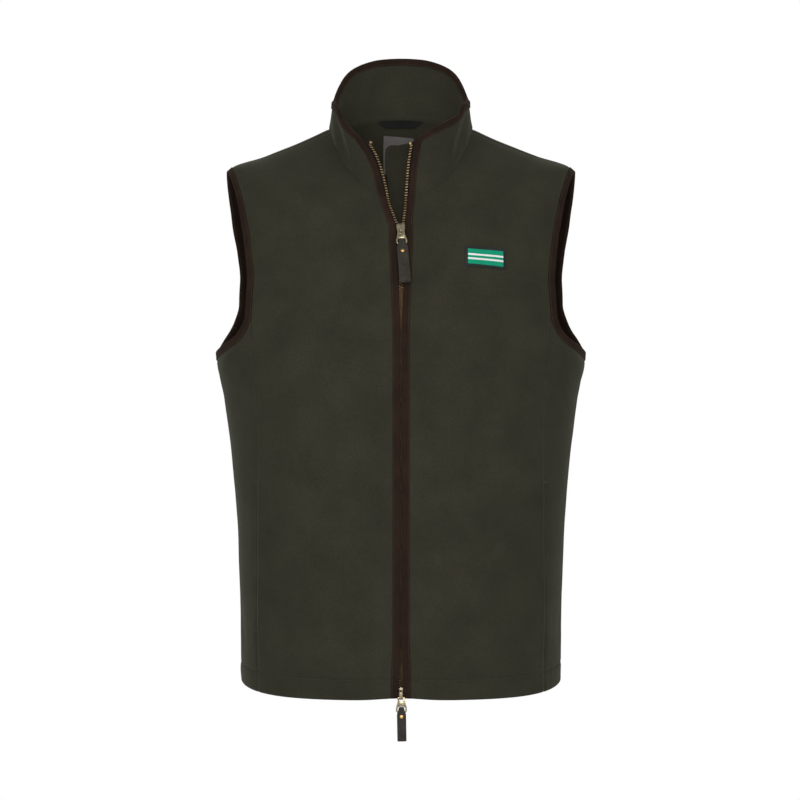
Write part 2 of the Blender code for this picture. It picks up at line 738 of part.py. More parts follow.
def build_front_binding(side, home):
    name = "left" if side > 0 else "right"
    edge, inner, *_ = front_rows(side)
    lower = binding_sections(body, mirrored(edge, side), mirrored(inner, side))
    grid = collar_grid() if side > 0 else collar_grid()[:, ::-1]
    collar_edge, collar_inner = grid[:, 0].copy(), grid[:, 1].copy()
    collar_inner[-1] = collar_inner[-2]
    _, up = slopes_of(collar, collar_inner[-2, 0], collar_inner[-2, 1])
    collar_inner[-2, 1] -= FAN / np.linalg.norm(up)
    upper = binding_sections(collar, collar_edge, collar_inner)
    upper[-1] = mitre(upper[-1], upper[-2])
    sweep(f"front_binding_{name}", over_neck_seam(lower, upper), False, "binding", home)


def x_edge(form, levels, x, side=1):
    """Pattern points at the given levels where the form is x(z) from the middle, for one side."""
    levels = np.asarray(levels, float)
    return mirrored(np.stack([angle_where(form, levels, x, -X_LIMIT, X_LIMIT, side), levels], -1), side)


def build_tape(side, home):
    """Half of the zip: a tape and, as a plain bead, its row of teeth."""
    name, row = ("left", "left_row") if side > 0 else ("right", "right_row")
    stations = []
    for form, levels in ((body, TAPE_LEVELS), (collar, TAPE_RISES)):
        at = [
            x_edge(form, levels, lambda z, a=a: zip_value(row, z) + a, side)
            for a in (-BEAD_HALF_WIDTH, BEAD_HALF_WIDTH, TAPE_BEND, TAPE_WIDTH)
        ]
        teeth = zip_value("depth", form(at[0][:, 0], at[0][:, 1])[:, 2])
        half, tape = TAPE / 2, TAPE_DEPTH
        corners = (
            (0, teeth - BEAD_HALF_DEPTH),
            (0, teeth + BEAD_HALF_DEPTH),
            (1, teeth + BEAD_HALF_DEPTH),
            (1, teeth + half),
            (2, tape + half),
            (3, tape + half),
            (3, tape - half),
            (2, tape - half),
            (1, teeth - half),
            (1, teeth - BEAD_HALF_DEPTH),
        )
        stations.append(np.stack([offset(form, at[k], depth) for k, depth in corners], 1))
    sweep(f"zip_tape_{name}", over_neck_seam(*stations), False, "tape", home)


def build_guard(home):
    heights = GUARD_EDGE["z"]
    free = lambda z: smooth(heights, GUARD_EDGE["x"], np.clip(z, heights[0], heights[-1]))
    sewn = lambda z: zip_value("left_row", z) + TAPE_WIDTH - 1
    stations = []
    for form, levels in ((body, GUARD_LEVELS), (collar, GUARD_RISES)):
        rows = ruled(x_edge(form, levels, free), x_edge(form, levels, sewn), spaced(0, 1, GUARD_COLUMNS))
        face, back = offset(form, rows, -GUARD_DEPTH), offset(form, rows, -GUARD_DEPTH - GUARD)
        stations.append(np.concatenate([face, back[:, ::-1]], 1))
    sweep("zip_guard", over_neck_seam(*stations), False, "fleece", home)


def behind_back(x, below):
    """Pattern points on the back, by width from the middle and distance below the neck seam."""
    levels = NECK - np.asarray(below, float)
    reach = smooth(BODY["level"], BODY["back"], levels)
    return np.stack([math.pi - np.asarray(x) / reach, levels], -1)


def four_sided(corners, columns, rows):
    """A grid of pattern points inside four corners, given round the edge from the lower left."""
    low = ruled(corners[0][None], corners[1][None], spaced(0, 1, columns))[0]
    high = ruled(corners[3][None], corners[2][None], spaced(0, 1, columns))[0]
    return np.swapaxes(ruled(low, high, spaced(0, 1, rows)), 0, 1)


def build_inside_back(home):
    face = -CLOTH - INSIDE_GAP
    strip = np.stack([behind_back(LOOP_STRIP["x"], LOOP_STRIP[edge]) for edge in ("bottom", "top")])
    wall("hanger_loop", body, [strip], face, face - LOOP_CLOTH, "tape", home)
    label = four_sided(behind_back(LABEL_CORNERS["x"], LABEL_CORNERS["below"]), 4, 4)
    wall("neck_label", body, [label], face, face - LABEL_CLOTH, "label", home)


def build_patch(home):
    outline = np.stack([PATCH_CORNERS["x"], PATCH_CORNERS["z"]], -1)
    rim = PATCH_RIM * np.array([(1, 1), (-1, 1), (-1, -1), (1, -1)])
    patch, field = (
        four_sided(np.array([find(body, x, z, *PATCH_GUESS) for x, z in corners]), 5, 3)
        for corners in (outline, outline + rim)
    )
    top = SKIN_GAP + PATCH_CLOTH
    wall("chest_patch", body, [patch], top, SKIN_GAP, "patch", home)
    low = top + SKIN_GAP
    wall("chest_patch_field", body, [field], low + FIELD_CLOTH, low, "patch_green", home)


def plate(name, outline, low, high, finish, home, place):
    """A flat piece in its own frame: an outline of (x, u) points in millimetres between two heights."""
    shape = bmesh.new()
    face = shape.faces.new([shape.verts.new((x * MM, u * MM, low * MM)) for x, u in outline])
    raised = bmesh.ops.extrude_face_region(shape, geom=[face])["geom"]
    verts = [v for v in raised if isinstance(v, bmesh.types.BMVert)]
    bmesh.ops.translate(shape, verts=verts, vec=(0, 0, (high - low) * MM))
    bmesh.ops.recalc_face_normals(shape, faces=shape.faces)
    return placed(name, shape, finish, home, place)


def rod(name, radius, low, high, finish, home, place):
    """A round bar along the frame's third axis."""
    shape = bmesh.new()
    bmesh.ops.create_cone(
        shape,
        cap_ends=True,
        segments=16,
        radius1=radius * MM,
        radius2=radius * MM,
        depth=(high - low) * MM,
        matrix=Matrix.Translation((0, 0, (low + high) / 2 * MM)),
    )
    return placed(name, shape, finish, home, place)


def placed(name, shape, finish, home, place):
    mesh = bpy.data.meshes.new(name)
    shape.to_mesh(mesh)
    shape.free()
    made = bpy.data.objects.new(name, mesh)
    made.data.materials.append(material(finish))
    made.matrix_world = place
    home.objects.link(made)
    return made


def combine(target, tools, operation, cutters):
    """Joins or cuts with other pieces, which are kept as hidden cutters."""
    for tool in tools:
        for owner in list(tool.users_collection):
            owner.objects.unlink(tool)
        cutters.objects.link(tool)
        tool.hide_render = True
        tool.display_type = "WIRE"
        step = target.modifiers.new(tool.name, "BOOLEAN")
        step.operation = operation
        step.object = tool
        step.solver = "EXACT"


def both_sides(half):
    """A closed outline from its points at +x, listed downwards."""
    return [(x, u) for x, u in half] + [(-x, u) for x, u in reversed(half)]


def box(half_width, low, high):
    return [(-half_width, low), (half_width, low), (half_width, high), (-half_width, high)]


def zip_place(x, z):
    """The slider's frame: x across the zip, u up it and h out of the cloth."""
    level = float(np.interp(z, BODY["z_front"], BODY["level"]))
    spot = find(body, x, z, 0.0, level)
    up = Vector(body(spot[0], spot[1] + 4) - body(spot[0], spot[1] - 4)).normalized()
    across = Vector((1, 0, 0))
    out = across.cross(up).normalized()
    point = Vector(body(spot[0], spot[1])) * MM
    return Matrix.Translation(point) @ Matrix((across, up, out)).transposed().to_4x4()


def build_slider(name, row, home, cutters):
    """One slider with its pull: a ring on the slider's bail and a folded leather tab riveted to it."""
    size = {column: float(values[row]) for column, values in (SLIDERS | TABS).items()}
    here = zip_place(size["x"], size["z"])
    length, piece = SLIDER_HALF_LENGTH, f"slider_{name}"
    low, high, back_high = size["front_low"], size["front_high"], size["back_high"]
    slider = plate(piece, box(size["half_width"], -length, length), low, high, "slider", home, here)
    back_box = box(min(size["half_width"], BACK_HALF_WIDTH), -length, length)
    back = plate(f"{piece}_back", back_box, back_high - PLATE, back_high, "slider", home, here)
    post_top = (length if row == 0 else POST_LENGTH - length) - OVERLAP / 2
    post_box = box(POST_HALF_WIDTH, post_top - POST_LENGTH, post_top)
    post = plate(f"{piece}_post", post_box, back_high - PLATE / 2, low + PLATE / 2, "slider", home, here)
    start, end = BAIL_ENDS
    foot = high - PLATE / 2
    arch = [
        (start, foot),
        (start + BAIL, foot),
        (start + BAIL, BAIL_TOP - BAIL),
        (end - BAIL, BAIL_TOP - BAIL),
        (end - BAIL, foot),
        (end, foot),
        (end, BAIL_TOP),
        (start, BAIL_TOP),
    ]
    sideways = here @ Matrix(((0, 0, 1, 0), (1, 0, 0, 0), (0, 1, 0, 0), (0, 0, 0, 1)))
    reach = size["bail_half_width"]
    bail = plate(f"{piece}_bail", arch, -reach, reach, "slider", home, sideways)
    combine(slider, (back, post, bail), "UNION", cutters)
    hang = here @ Matrix.Translation((0, PIN_U * MM, PIN_H * MM))
    hang = hang @ Matrix.Rotation(math.radians(-size["tilt"]), 4, "Z")
    build_pull(name, size, hang, home, cutters)


def build_pull(name, size, hang, home, cutters):
    thick = PULLER_HALF
    puller = plate(f"puller_{name}", both_sides(PULLER_OUTLINE), -thick, thick, "slider", home, hang)
    holes = [
        plate(f"puller_{name}_hole_{k}", both_sides(hole), -2 * thick, 2 * thick, "slider", home, hang)
        for k, hole in enumerate((BAIL_HOLE, TAB_HOLE))
    ]
    combine(puller, holes, "DIFFERENCE", cutters)
    wide, end = size["tab_half_width"], size["tab_end"]
    tip = [(wide, end + TAB_TIP[1]), (wide - TAB_TIP[0], end)]
    outline = both_sides([*TAB_TOP, (wide, size["tab_shoulder"]), *tip])
    near, far = thick + SKIN_GAP, thick + SKIN_GAP + LEATHER
    middle = near + LEATHER / 2
    tab = plate(f"tab_{name}", outline, near, far, "leather", home, hang)
    behind = plate(f"tab_{name}_behind", outline, -far, -near, "leather", home, hang)
    fold = plate(f"tab_{name}_fold", box(*TAB_LINK), -middle, middle, "leather", home, hang)
    core_box = box(wide - TAB_HEM[0], end + TAB_HEM[1], size["tab_shoulder"] + OVERLAP)
    core = plate(f"tab_{name}_core", core_box, -middle, middle, "leather", home, hang)
    combine(tab, (behind, fold, core), "UNION", cutters)
    at_rivet = hang @ Matrix.Translation((0, size["rivet"] * MM, 0))
    hole = rod(f"tab_{name}_hole", SHANK_RADIUS + SKIN_GAP, -2 * far, 2 * far, "leather", home, at_rivet)
    combine(tab, (hole,), "DIFFERENCE", cutters)
    head = far + SKIN_GAP
    rivet = rod(f"rivet_{name}", RIVET_RADIUS, head, head + RIVET_HEAD, "brass", home, at_rivet)
    cap = rod(f"rivet_{name}_cap", RIVET_RADIUS, -head - RIVET_CAP, -head, "brass", home, at_rivet)
    reach = head + OVERLAP
    shank = rod(f"rivet_{name}_shank", SHANK_RADIUS, -reach, reach, "brass", home, at_rivet)
    combine(rivet, (cap, shank), "UNION", cutters)


def build_all():
    clear_scene()
    home = collection("gilet")
    cutters = collection("cutters")
    for side in (1, -1):
        build_front(side, home)
        build_side(side, home)
        build_armhole_binding(side, home)
        build_front_binding(side, home)
        build_tape(side, home)
    build_back(home)
    build_collar(home)
    build_guard(home)
    build_inside_back(home)
    build_patch(home)
    build_slider("top", 0, home, cutters)
    build_slider("bottom", 1, home, cutters)


build_all()
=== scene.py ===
"""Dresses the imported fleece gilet: fine cloth over each panel's own form, folded bindings, stitches, zip
teeth, sliders and pulls. Sizes are in millimetres until a mesh is made; +Z is up and the front faces -Y.
"""
import json
import math
import random
from collections import Counter

import bmesh
import bpy
import numpy as np
from mathutils import Matrix, Vector, noise

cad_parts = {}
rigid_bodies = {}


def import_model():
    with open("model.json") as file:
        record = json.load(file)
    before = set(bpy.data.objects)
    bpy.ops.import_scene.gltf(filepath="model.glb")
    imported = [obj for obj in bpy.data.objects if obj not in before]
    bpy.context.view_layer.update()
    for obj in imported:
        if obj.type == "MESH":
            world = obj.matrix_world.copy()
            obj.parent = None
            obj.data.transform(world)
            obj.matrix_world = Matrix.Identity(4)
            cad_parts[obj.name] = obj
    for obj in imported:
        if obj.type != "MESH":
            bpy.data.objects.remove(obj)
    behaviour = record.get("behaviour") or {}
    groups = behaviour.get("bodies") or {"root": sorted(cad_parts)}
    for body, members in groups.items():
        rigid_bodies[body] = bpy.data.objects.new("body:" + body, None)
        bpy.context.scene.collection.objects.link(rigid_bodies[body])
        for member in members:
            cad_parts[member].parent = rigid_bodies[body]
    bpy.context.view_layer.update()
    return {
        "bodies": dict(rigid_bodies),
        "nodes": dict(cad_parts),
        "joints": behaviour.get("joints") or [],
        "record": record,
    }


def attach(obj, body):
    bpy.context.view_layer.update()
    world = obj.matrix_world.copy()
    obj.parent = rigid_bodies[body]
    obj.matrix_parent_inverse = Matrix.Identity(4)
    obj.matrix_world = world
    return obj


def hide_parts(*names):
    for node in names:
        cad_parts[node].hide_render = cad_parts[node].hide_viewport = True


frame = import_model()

MM = 0.001
SIDES = {1: "left", -1: "right"}

# Cloth and sewing, in millimetres
CLOTH = 2.2
SEAM_GAP = 0.06
HEM_DEPTH = 23.0
HEM_LAYERS = 3.8
SKIN_GAP = 0.3
INSIDE_GAP = 0.8
BINDING_SKIN = 0.85
FOLD = 1.5
ARMHOLE_BINDING = 8.3
COLLAR_BINDING = 7.3
FRONT_BINDING = 7.6
V_BINDING = 6.0


def table(names, *rows):
    """Named columns of a short table, each as an array."""
    return dict(zip(names.split(), np.array(rows, float).T))


def unit(vectors):
    return vectors / np.linalg.norm(vectors, axis=-1, keepdims=True)


def run_along(points):
    """How far along the line through the points each one lies."""
    return np.concatenate([[0], np.cumsum(np.linalg.norm(np.diff(points, axis=0), axis=1))])


def read_at(s, run, values):
    """Each column of values, read at the places s of a run."""
    return np.stack([np.interp(s, run, column) for column in values.T], -1)


# Rings of the body in millimetres. Level runs up the side, over the armhole and along the shoulder.
BODY = table(
    "level half_width front back z_front z_side z_back squareness dip",
    (0, 193.5, 145, 118, -677, -668, -672, 2.45, 10.0),
    (72, 194.8, 146, 115, -602, -598, -600, 2.45, 4.0),
    (180, 198.0, 142, 108, -493, -491, -492, 2.4, 2.5),
    (270, 205.4, 138, 110, -402, -402, -402, 2.35, 2.5),
    (343, 214.6, 136, 116, -331, -329, -331, 2.3, 2.5),
    (392, 224.0, 134, 119, -286, -280, -284, 2.3, 2.5),
    (470, 222.0, 129, 121, -226, -202, -212, 2.3, 2.5),
    (550, 217.0, 122, 118, -178, -122, -147, 2.2, 2.5),
    (622, 211.0, 114, 109, -140, -51.0, -88, 2.1, 2.5),
    (668, 165.0, 108, 98, -121, -32.2, -46, 2.0, 2.5),
    (713, 120.0, 102, 85, -104, -14, -11, 2.0, 2.5),
    (748, 88.0, 97, 72, -89, 1, 22.5, 2.0, 2.5),
)
NECK = 748.0

# The collar's half-way ring and top ring in millimetres, and the height of its top edge on the wearer's left
# and right by how far forward it is (the cosine of the angle); its base is the neck seam.
COLLAR = table("half_width front back squareness", (85.0, 99, 77, 2.0), (83.5, 99, 80, 2.1))
COLLAR_TOP = table(
    "forward left right",
    (-1.0, 97.5, 97.5),
    (-0.93, 95, 95),
    (-0.86, 91.5, 91.5),
    (-0.76, 86, 86),
    (-0.65, 79, 79),
    (-0.54, 70, 70),
    (-0.42, 58, 58),
    (-0.3, 46.8, 46.8),
    (-0.2, 39.5, 38.5),
    (0.0, 34.5, 33.5),
    (0.25, 32, 30.5),
    (0.47, 25.5, 21),
    (0.6, 14.5, 8),
    (0.72, 6.6, -3),
    (0.83, -0.2, -13),
    (0.91, -7.2, -25),
    (0.96, -15, -27.5),
    (1.0, -28, -28),
)
COLLAR_SEAM = 0.1

# The zip's two rows of teeth: how far each is from the middle, how far beyond its row the binding's
# folded edge lies (less than 0 over the teeth), and how deep the teeth lie behind the cloth's face.
ZIP = table(
    "z right_row left_row fold depth",
    (-680, 1.65, 1.65, 0.9, -7.0),
    (-650, 1.65, 1.65, 0.6, -7.0),
    (-600, 1.65, 1.65, -1.1, -6.2),
    (-430, 1.65, 1.65, -1.1, -6.2),
    (-260, 1.65, 1.65, -1.1, -6.2),
    (-198, 1.65, 1.65, 0.8, -5.4),
    (-160, 1.65, 1.65, 2.6, -3.4),
    (-136, 1.65, 1.65, 3.8, -2.3),
    (-127, 2.4, 2.0, 3.6, -2.2),
    (-119, 6.0, 3.0, 2.6, -2.2),
    (-109, 9.6, 4.3, 2.4, -2.2),
    (-99, 13.6, 5.3, 2.4, -2.2),
    (-80, 17.9, 6.7, 3.0, -2.2),
    (-59, 23.2, 8.2, 2.9, -2.2),
    (-40, 30.1, 10.5, 3.6, -2.2),
    (-24, 39.6, 13.4, 3.0, -2.2),
    (-6, 52.0, 17.5, 3.4, -2.2),
)
TAPE = 0.8
TAPE_BEND = 3.5
TAPE_WIDTH = 12.0
TAPE_DEPTH = -4.3

# The guard flap behind the zip: its free edge, and how far it lies behind the cloth's face
GUARD_EDGE = table(
    "z x",
    (-680, -15),
    (-130, -15),
    (-93, -16.2),
    (-78, -18.2),
    (-61, -20.6),
    (-45, -21.6),
    (-35, -21.3),
    (-31, -19.4),
    (-28, -14.5),
)
GUARD_DEPTH = 9.3
GUARD = 1.6

# Small pieces of cloth: the loop and the label inside the back, placed by width and distance below the
# neck seam, and the patch on the chest, placed by its corners as seen from the front
LOOP_STRIP = table(
    "x top bottom",
    (-29, 0.8, 3),
    (-25, 0.8, 6),
    (-20, 0.8, 10.5),
    (18, 0.8, 10.5),
    (23, 0.8, 6),
    (27, 0.8, 3),
)
LOOP_CLOTH = 1.2
LABEL_CORNERS = table("x below", (16, 80), (-22, 77), (-22, 19.5), (16, 23))
LABEL_CLOTH = 0.6
PATCH_CORNERS = table("x z", (74.8, -172.7), (122.4, -176.6), (122.4, -152.0), (74.8, -148.7))
PATCH_GUESS = (math.radians(36), 560.0)
PATCH_CLOTH = 1.4
PATCH_RIM = 3.2
FIELD_CLOTH = 0.4

# Sliders and pulls: heights of the sliders on the zip, and every other size from the slider's middle,
# with x across, u up the zip and h out of the cloth
SLIDERS = table(
    "z x half_width front_low front_high back_high bail_half_width tilt",
    (-128.5, -0.3, 5.0, -0.4, 0.9, -4.0, 1.6, -4.7),
    (-669.5, 0.2, 3.9, -5.3, -4.2, -8.8, 1.45, -1.0),
)
TABS = table(
    "tab_half_width tab_shoulder rivet tab_end",
    (6.5, -21.5, -26.6, -66.0),
    (5.3, -19.5, -22.0, -50.5),
)
SLIDER_HALF_LENGTH = 6.5
PLATE = 1.1
BAIL_TOP = 6.2
BAIL = 1.1
BAIL_ENDS = (-5.5, 4.5)
PIN_U = -3.1
PIN_H = 4.0
PULLER_HALF = 0.7
PULLER_OUTLINE = ((4.3, 0.55), (4.3, -5.0), (6.4, -12.0), (6.4, -15.8), (5.2, -17.3))
BAIL_HOLE = ((2.3, -0.55), (2.3, -4.6))
TAB_HOLE = ((3.2, -10.4), (4.5, -12.4), (4.5, -15.4))
LEATHER = 1.3
TAB_TOP = ((3.0, -11.2), (3.4, -14.2))
TAB_LINK = (2.9, -14.9, -11.2)
BACK_HALF_WIDTH = 3.6
POST_HALF_WIDTH = 0.8

# Armhole edge of the cloth: its highest and lowest points as angle and level, and between them its
# front edge and back edge as seen from the front, by half width and height
SHOULDER_TIP = (math.radians(88), 622.0)
UNDERARM_SPOT = (math.pi / 2, 399.0)
ARMHOLE_FRONT = table(
    "x z",
    (206.5, -57),
    (201.3, -70),
    (194.5, -93),
    (185.2, -144),
    (181.2, -195),
    (183.6, -229),
    (197.0, -254),
)
ARMHOLE_BACK = table(
    "x z",
    (213.2, -248),
    (205.2, -230),
    (200.4, -210),
    (199.4, -183),
    (202.0, -148),
    (206.2, -122),
    (209.6, -92),
)
# Seams: half widths of the side-front seam, and the angles of the others from the middle of the front.
# The shoulder seam ends at the armhole's highest point.
SIDE_FRONT_SEAM = table("level x", (0, 169.5), (200, 170), (343, 170), (420, 177))
SIDE_BACK_SEAM = math.radians(107)
SHOULDER_SEAM = table("level degrees", (622, 88), (650, 84), (690, 80.5), (748, 79))
CENTRE_BACK = math.pi
FRONT_HEM_LIFT = 3.0
LIFT_REACH = 30.0
LIFT_HEIGHT = 70.0


def smooth(knots, values, at):
    """A curve through the values that turns only where they do, read at the places asked for."""
    rises = np.diff(values) / np.diff(knots)
    product, total = rises[:-1] * rises[1:], rises[:-1] + rises[1:]
    inner = np.where(product > 0, 2 * product / np.where(product > 0, total, 1), 0)
    slopes = np.concatenate([rises[:1], inner, rises[-1:]])
    at = np.asarray(at, float)
    i = np.clip(np.searchsorted(knots, at) - 1, 0, len(knots) - 2)
    width = knots[i + 1] - knots[i]
    t = (at - knots[i]) / width
    rise = t * t * (3 - 2 * t)
    start = t * (1 - t) ** 2
    end = t * t * (t - 1)
    return values[i] * (1 - rise) + values[i + 1] * rise + width * (slopes[i] * start + slopes[i + 1] * end)


def ring_point(ring, angle, z):
    """Points on a ring, in millimetres; the angle is 0 at the middle of the front and a right angle at +X."""
    s, c = np.sin(angle), np.cos(angle)
    n = ring["squareness"]
    depth = np.where(c >= 0, ring["front"], ring["back"])
    reach = (np.abs(s / ring["half_width"]) ** n + np.abs(c / depth) ** n) ** (-1 / n)
    return np.stack([reach * s, -reach * c, z], -1)


def body(angle, level):
    """Points on the outer face of the body's cloth, in millimetres."""
    ring = {name: smooth(BODY["level"], BODY[name], level) for name in BODY}
    end = np.where(np.cos(angle) >= 0, ring["z_front"], ring["z_back"])
    share = 1 - np.abs(np.sin(angle)) ** ring["dip"]
    points = ring_point(ring, angle, ring["z_side"] + (end - ring["z_side"]) * share)
    near_hem = np.clip(1 - np.asarray(level) / LIFT_HEIGHT, 0, 1) ** 2
    ahead = np.cos(angle) > 0
    points[..., 2] += FRONT_HEM_LIFT * near_hem * ahead * np.exp(-((points[..., 0] / LIFT_REACH) ** 2))
    return points


def collar(angle, rise):
    """Points on the outer face of the collar; rise is 0 at the neck seam and 1 at the top edge."""
    up = unit(body(angle, NECK) - body(angle, NECK - 1.0))
    base = body(angle, NECK) + COLLAR_SEAM * up
    rings = [{name: COLLAR[name][k] for name in COLLAR} for k in (0, 1)]
    heights = [smooth(COLLAR_TOP["forward"], COLLAR_TOP[side], np.cos(angle)) for side in ("left", "right")]
    top_z = np.where(np.sin(angle) > 0, *heights)
    middle = ring_point(rings[0], angle, (base[..., 2] + top_z) / 2)
    top = ring_point(rings[1], angle, top_z)
    u = np.asarray(rise, float)[..., None]
    return base * (1 - u) * (1 - 2 * u) + middle * 4 * u * (1 - u) + top * u * (2 * u - 1)


def on(form, pattern):
    """Points on the form's face; pattern holds angle and level."""
    return form(pattern[..., 0], pattern[..., 1])


def slopes_of(form, pattern):
    """How the form's points move with the angle and with the level."""
    angle, level = pattern[..., 0], pattern[..., 1]
    small = 1e-4 if form is body else 1e-5
    step = 0.05 if form is body else 0.002
    across = (form(angle + small, level) - form(angle - small, level)) / (2 * small)
    up = (form(angle, level + step) - form(angle, level - step)) / (2 * step)
    return across, up


def normal(form, pattern):
    """Unit vectors out of the cloth."""
    return unit(np.cross(*slopes_of(form, pattern)))


def offset(form, pattern, distance):
    """Points off the form's face by a distance in millimetres."""
    distance = np.broadcast_to(np.asarray(distance, float), pattern.shape[:-1])[..., None]
    return on(form, pattern) + distance * normal(form, pattern)


def walk(form, pattern, direction, distance, steps=4):
    """Moves pattern points over the form, along a direction in space, by a distance in millimetres."""
    pattern = np.array(pattern, float)
    for _ in range(steps):
        frame_inverse = np.linalg.pinv(np.stack(slopes_of(form, pattern), -1))
        pattern += (frame_inverse @ (direction * distance / steps)[..., None])[..., 0]
    return pattern


def find(form, x, z, angle, level):
    """The pattern point that the front view shows at x and z, from a first guess of its angle and level."""
    spot = np.array([angle, level], float)
    for _ in range(40):
        across, up = slopes_of(form, spot)
        miss = np.array([x, z]) - on(form, spot)[[0, 2]]
        frame = np.array([[across[0], up[0]], [across[2], up[2]]])
        move = np.linalg.solve(frame, miss)
        spot += move * min(1.0, 0.3 / (abs(move[0]) + 1e-9), 40.0 / (abs(move[1]) + 1e-9))
    return spot


def angle_where(form, level, half_width, low=0.0, high=math.radians(89), side=1):
    """The angle between low and high, toward one side, at which the form is half_width(z) from the middle."""
    low, high = np.full(np.shape(level), low), np.full(np.shape(level), high)
    for _ in range(50):
        middle = (low + high) / 2
        point = form(side * middle, level)
        inside = side * point[..., 0] < half_width(point[..., 2])
        low, high = np.where(inside, middle, low), np.where(inside, high, middle)
    return (low + high) / 2


def armhole_loop(count=480):
    """The cloth's armhole edge and, the binding's width into the cloth, its inner line, as pattern points."""
    level = lambda z: np.interp(z, BODY["z_side"], BODY["level"])
    front, back = (
        [find(body, x, z, math.radians(guess), level(z)) for x, z in zip(edge["x"], edge["z"])]
        for edge, guess in ((ARMHOLE_FRONT, 66), (ARMHOLE_BACK, 108))
    )
    spots = np.array([SHOULDER_TIP, *front, UNDERARM_SPOT, *back])
    lap = 3
    around = np.vstack([spots[-lap:], spots, spots[:lap]])
    run = run_along(on(body, around))
    start, end = run[lap], run[lap + len(spots)]
    s = np.linspace(start, end, count, endpoint=False)
    edge = np.stack([smooth(run, around[:, 0], s), smooth(run, around[:, 1], s)], -1)
    points = on(body, edge)
    along = np.roll(points, -1, 0) - np.roll(points, 1, 0)
    away = unit(np.cross(along, normal(body, edge)))
    if (away[:, 1] * (points[:, 1] - points[:, 1].mean())).sum() < 0:
        away = -away
    return edge, walk(body, edge, away, ARMHOLE_BINDING)


ARMHOLE_EDGE, ARMHOLE_INNER = armhole_loop()


def on_loop(loop, s):
    """Pattern points of a closed loop at places counted in its own points."""
    s = np.asarray(s, float)
    turns = len(loop)
    wrapped = np.vstack([loop, loop, loop])
    places = np.arange(3 * turns) - turns
    return read_at(s, places, wrapped)


def loop_crossing(function, low, high):
    """The place on the loop, between low and high, at which the function of a pattern point is 0."""
    sign = np.sign(function(on_loop(ARMHOLE_INNER, high)))
    for _ in range(50):
        middle = (low + high) / 2
        if np.sign(function(on_loop(ARMHOLE_INNER, middle))) == sign:
            high = middle
        else:
            low = middle
    return (low + high) / 2


def seam_angle(level):
    """The side-front seam's angle at a level."""
    x = smooth(SIDE_FRONT_SEAM["level"], SIDE_FRONT_SEAM["x"], np.minimum(level, 420))
    return angle_where(body, level, lambda z: x)


def shoulder_angle(level):
    """The shoulder seam's angle at a level."""
    return np.radians(smooth(SHOULDER_SEAM["level"], SHOULDER_SEAM["degrees"], np.maximum(level, 622)))


# Places where the seams meet the armhole's inner line, and how many rows each stretch has
LOOP = len(ARMHOLE_EDGE)
UNDERARM = float(np.argmin(ARMHOLE_EDGE[:, 1]))
AT_FRONT_SEAM = loop_crossing(lambda p: p[0] - seam_angle(p[1]), UNDERARM * 0.6, UNDERARM)
AT_BACK_SEAM = loop_crossing(lambda p: p[0] - SIDE_BACK_SEAM, UNDERARM, UNDERARM + LOOP * 0.2)
AT_SHOULDER = loop_crossing(lambda p: p[0] - shoulder_angle(p[1]), -LOOP * 0.05, LOOP * 0.05)
ARMHOLE_ROWS = 80
TOWARD_TIP = 1.3
SIDE_COLUMNS = 36
SHOULDER_ROWS = 40
FRONT_COLUMNS = 60
BACK_COLUMNS = 64
HEM_STEP = 1.5
HEM_LEVELS = [0, 0.6, 1.4, 2.4, 4, 7, 10, 13, 16, 19, 21, 22, 23, 24.5]
STRAIGHT_LEVELS = np.array([*HEM_LEVELS, *np.arange(27, 297, 3.8)])
UPPER_SIDE_ROWS = 24
NEAR_SEAM = (0.006, 0.013, 0.022)
X_LIMIT = math.radians(60)


def spaced(low, high, count):
    """Even places from low to high, with both ends."""
    return np.linspace(low, high, count + 1)


def armhole_places(seam, shoulder):
    """Places on the armhole from a side seam to the shoulder seam, closer together near the tip."""
    return shoulder - (shoulder - seam) * (1 - spaced(0, 1, ARMHOLE_ROWS)) ** TOWARD_TIP


def columns(count):
    """Shares of a panel's width at its columns, closer together beside its seams."""
    return np.unique([*spaced(0, 1, count), *NEAR_SEAM, *(1 - share for share in NEAR_SEAM)])


def seam_levels(top):
    """Levels of the rows below an armhole, shared by the two panels that meet there."""
    return np.concatenate([STRAIGHT_LEVELS, spaced(STRAIGHT_LEVELS[-1], top, UPPER_SIDE_ROWS)[1:]])


def half_gap(form, pattern, sign):
    """Pattern points moved half a seam's gap along the ring."""
    across, _ = slopes_of(form, pattern)
    moved = pattern.copy()
    moved[..., 0] += sign * SEAM_GAP / 2 / np.linalg.norm(across, axis=-1)
    return moved


def ruled(starts, ends, shares):
    """A grid of pattern points between two chains."""
    shares = np.asarray(shares)[None, :, None]
    return starts[:, None, :] * (1 - shares) + ends[:, None, :] * shares


def zip_value(name, z):
    return smooth(ZIP["z"], ZIP[name], np.clip(z, ZIP["z"][0], ZIP["z"][-1]))


def front_width(z):
    """Width of the front binding at a height: narrower beside the open zip."""
    return np.interp(z, [-150, -110], [FRONT_BINDING, V_BINDING])


def front_chain(form, side, levels):
    """The cloth's edge beside the zip and the binding's inner line, with positive angles."""
    row = f"{SIDES[side]}_row"
    edge_x = lambda z: zip_value(row, z) + zip_value("fold", z) + FOLD
    inner_x = lambda z: edge_x(z) + front_width(z)
    levels = np.asarray(levels, float)
    angles = [angle_where(form, levels, x, 0.0, X_LIMIT, side) for x in (edge_x, inner_x)]
    return [np.stack([angle, levels], -1) for angle in angles]


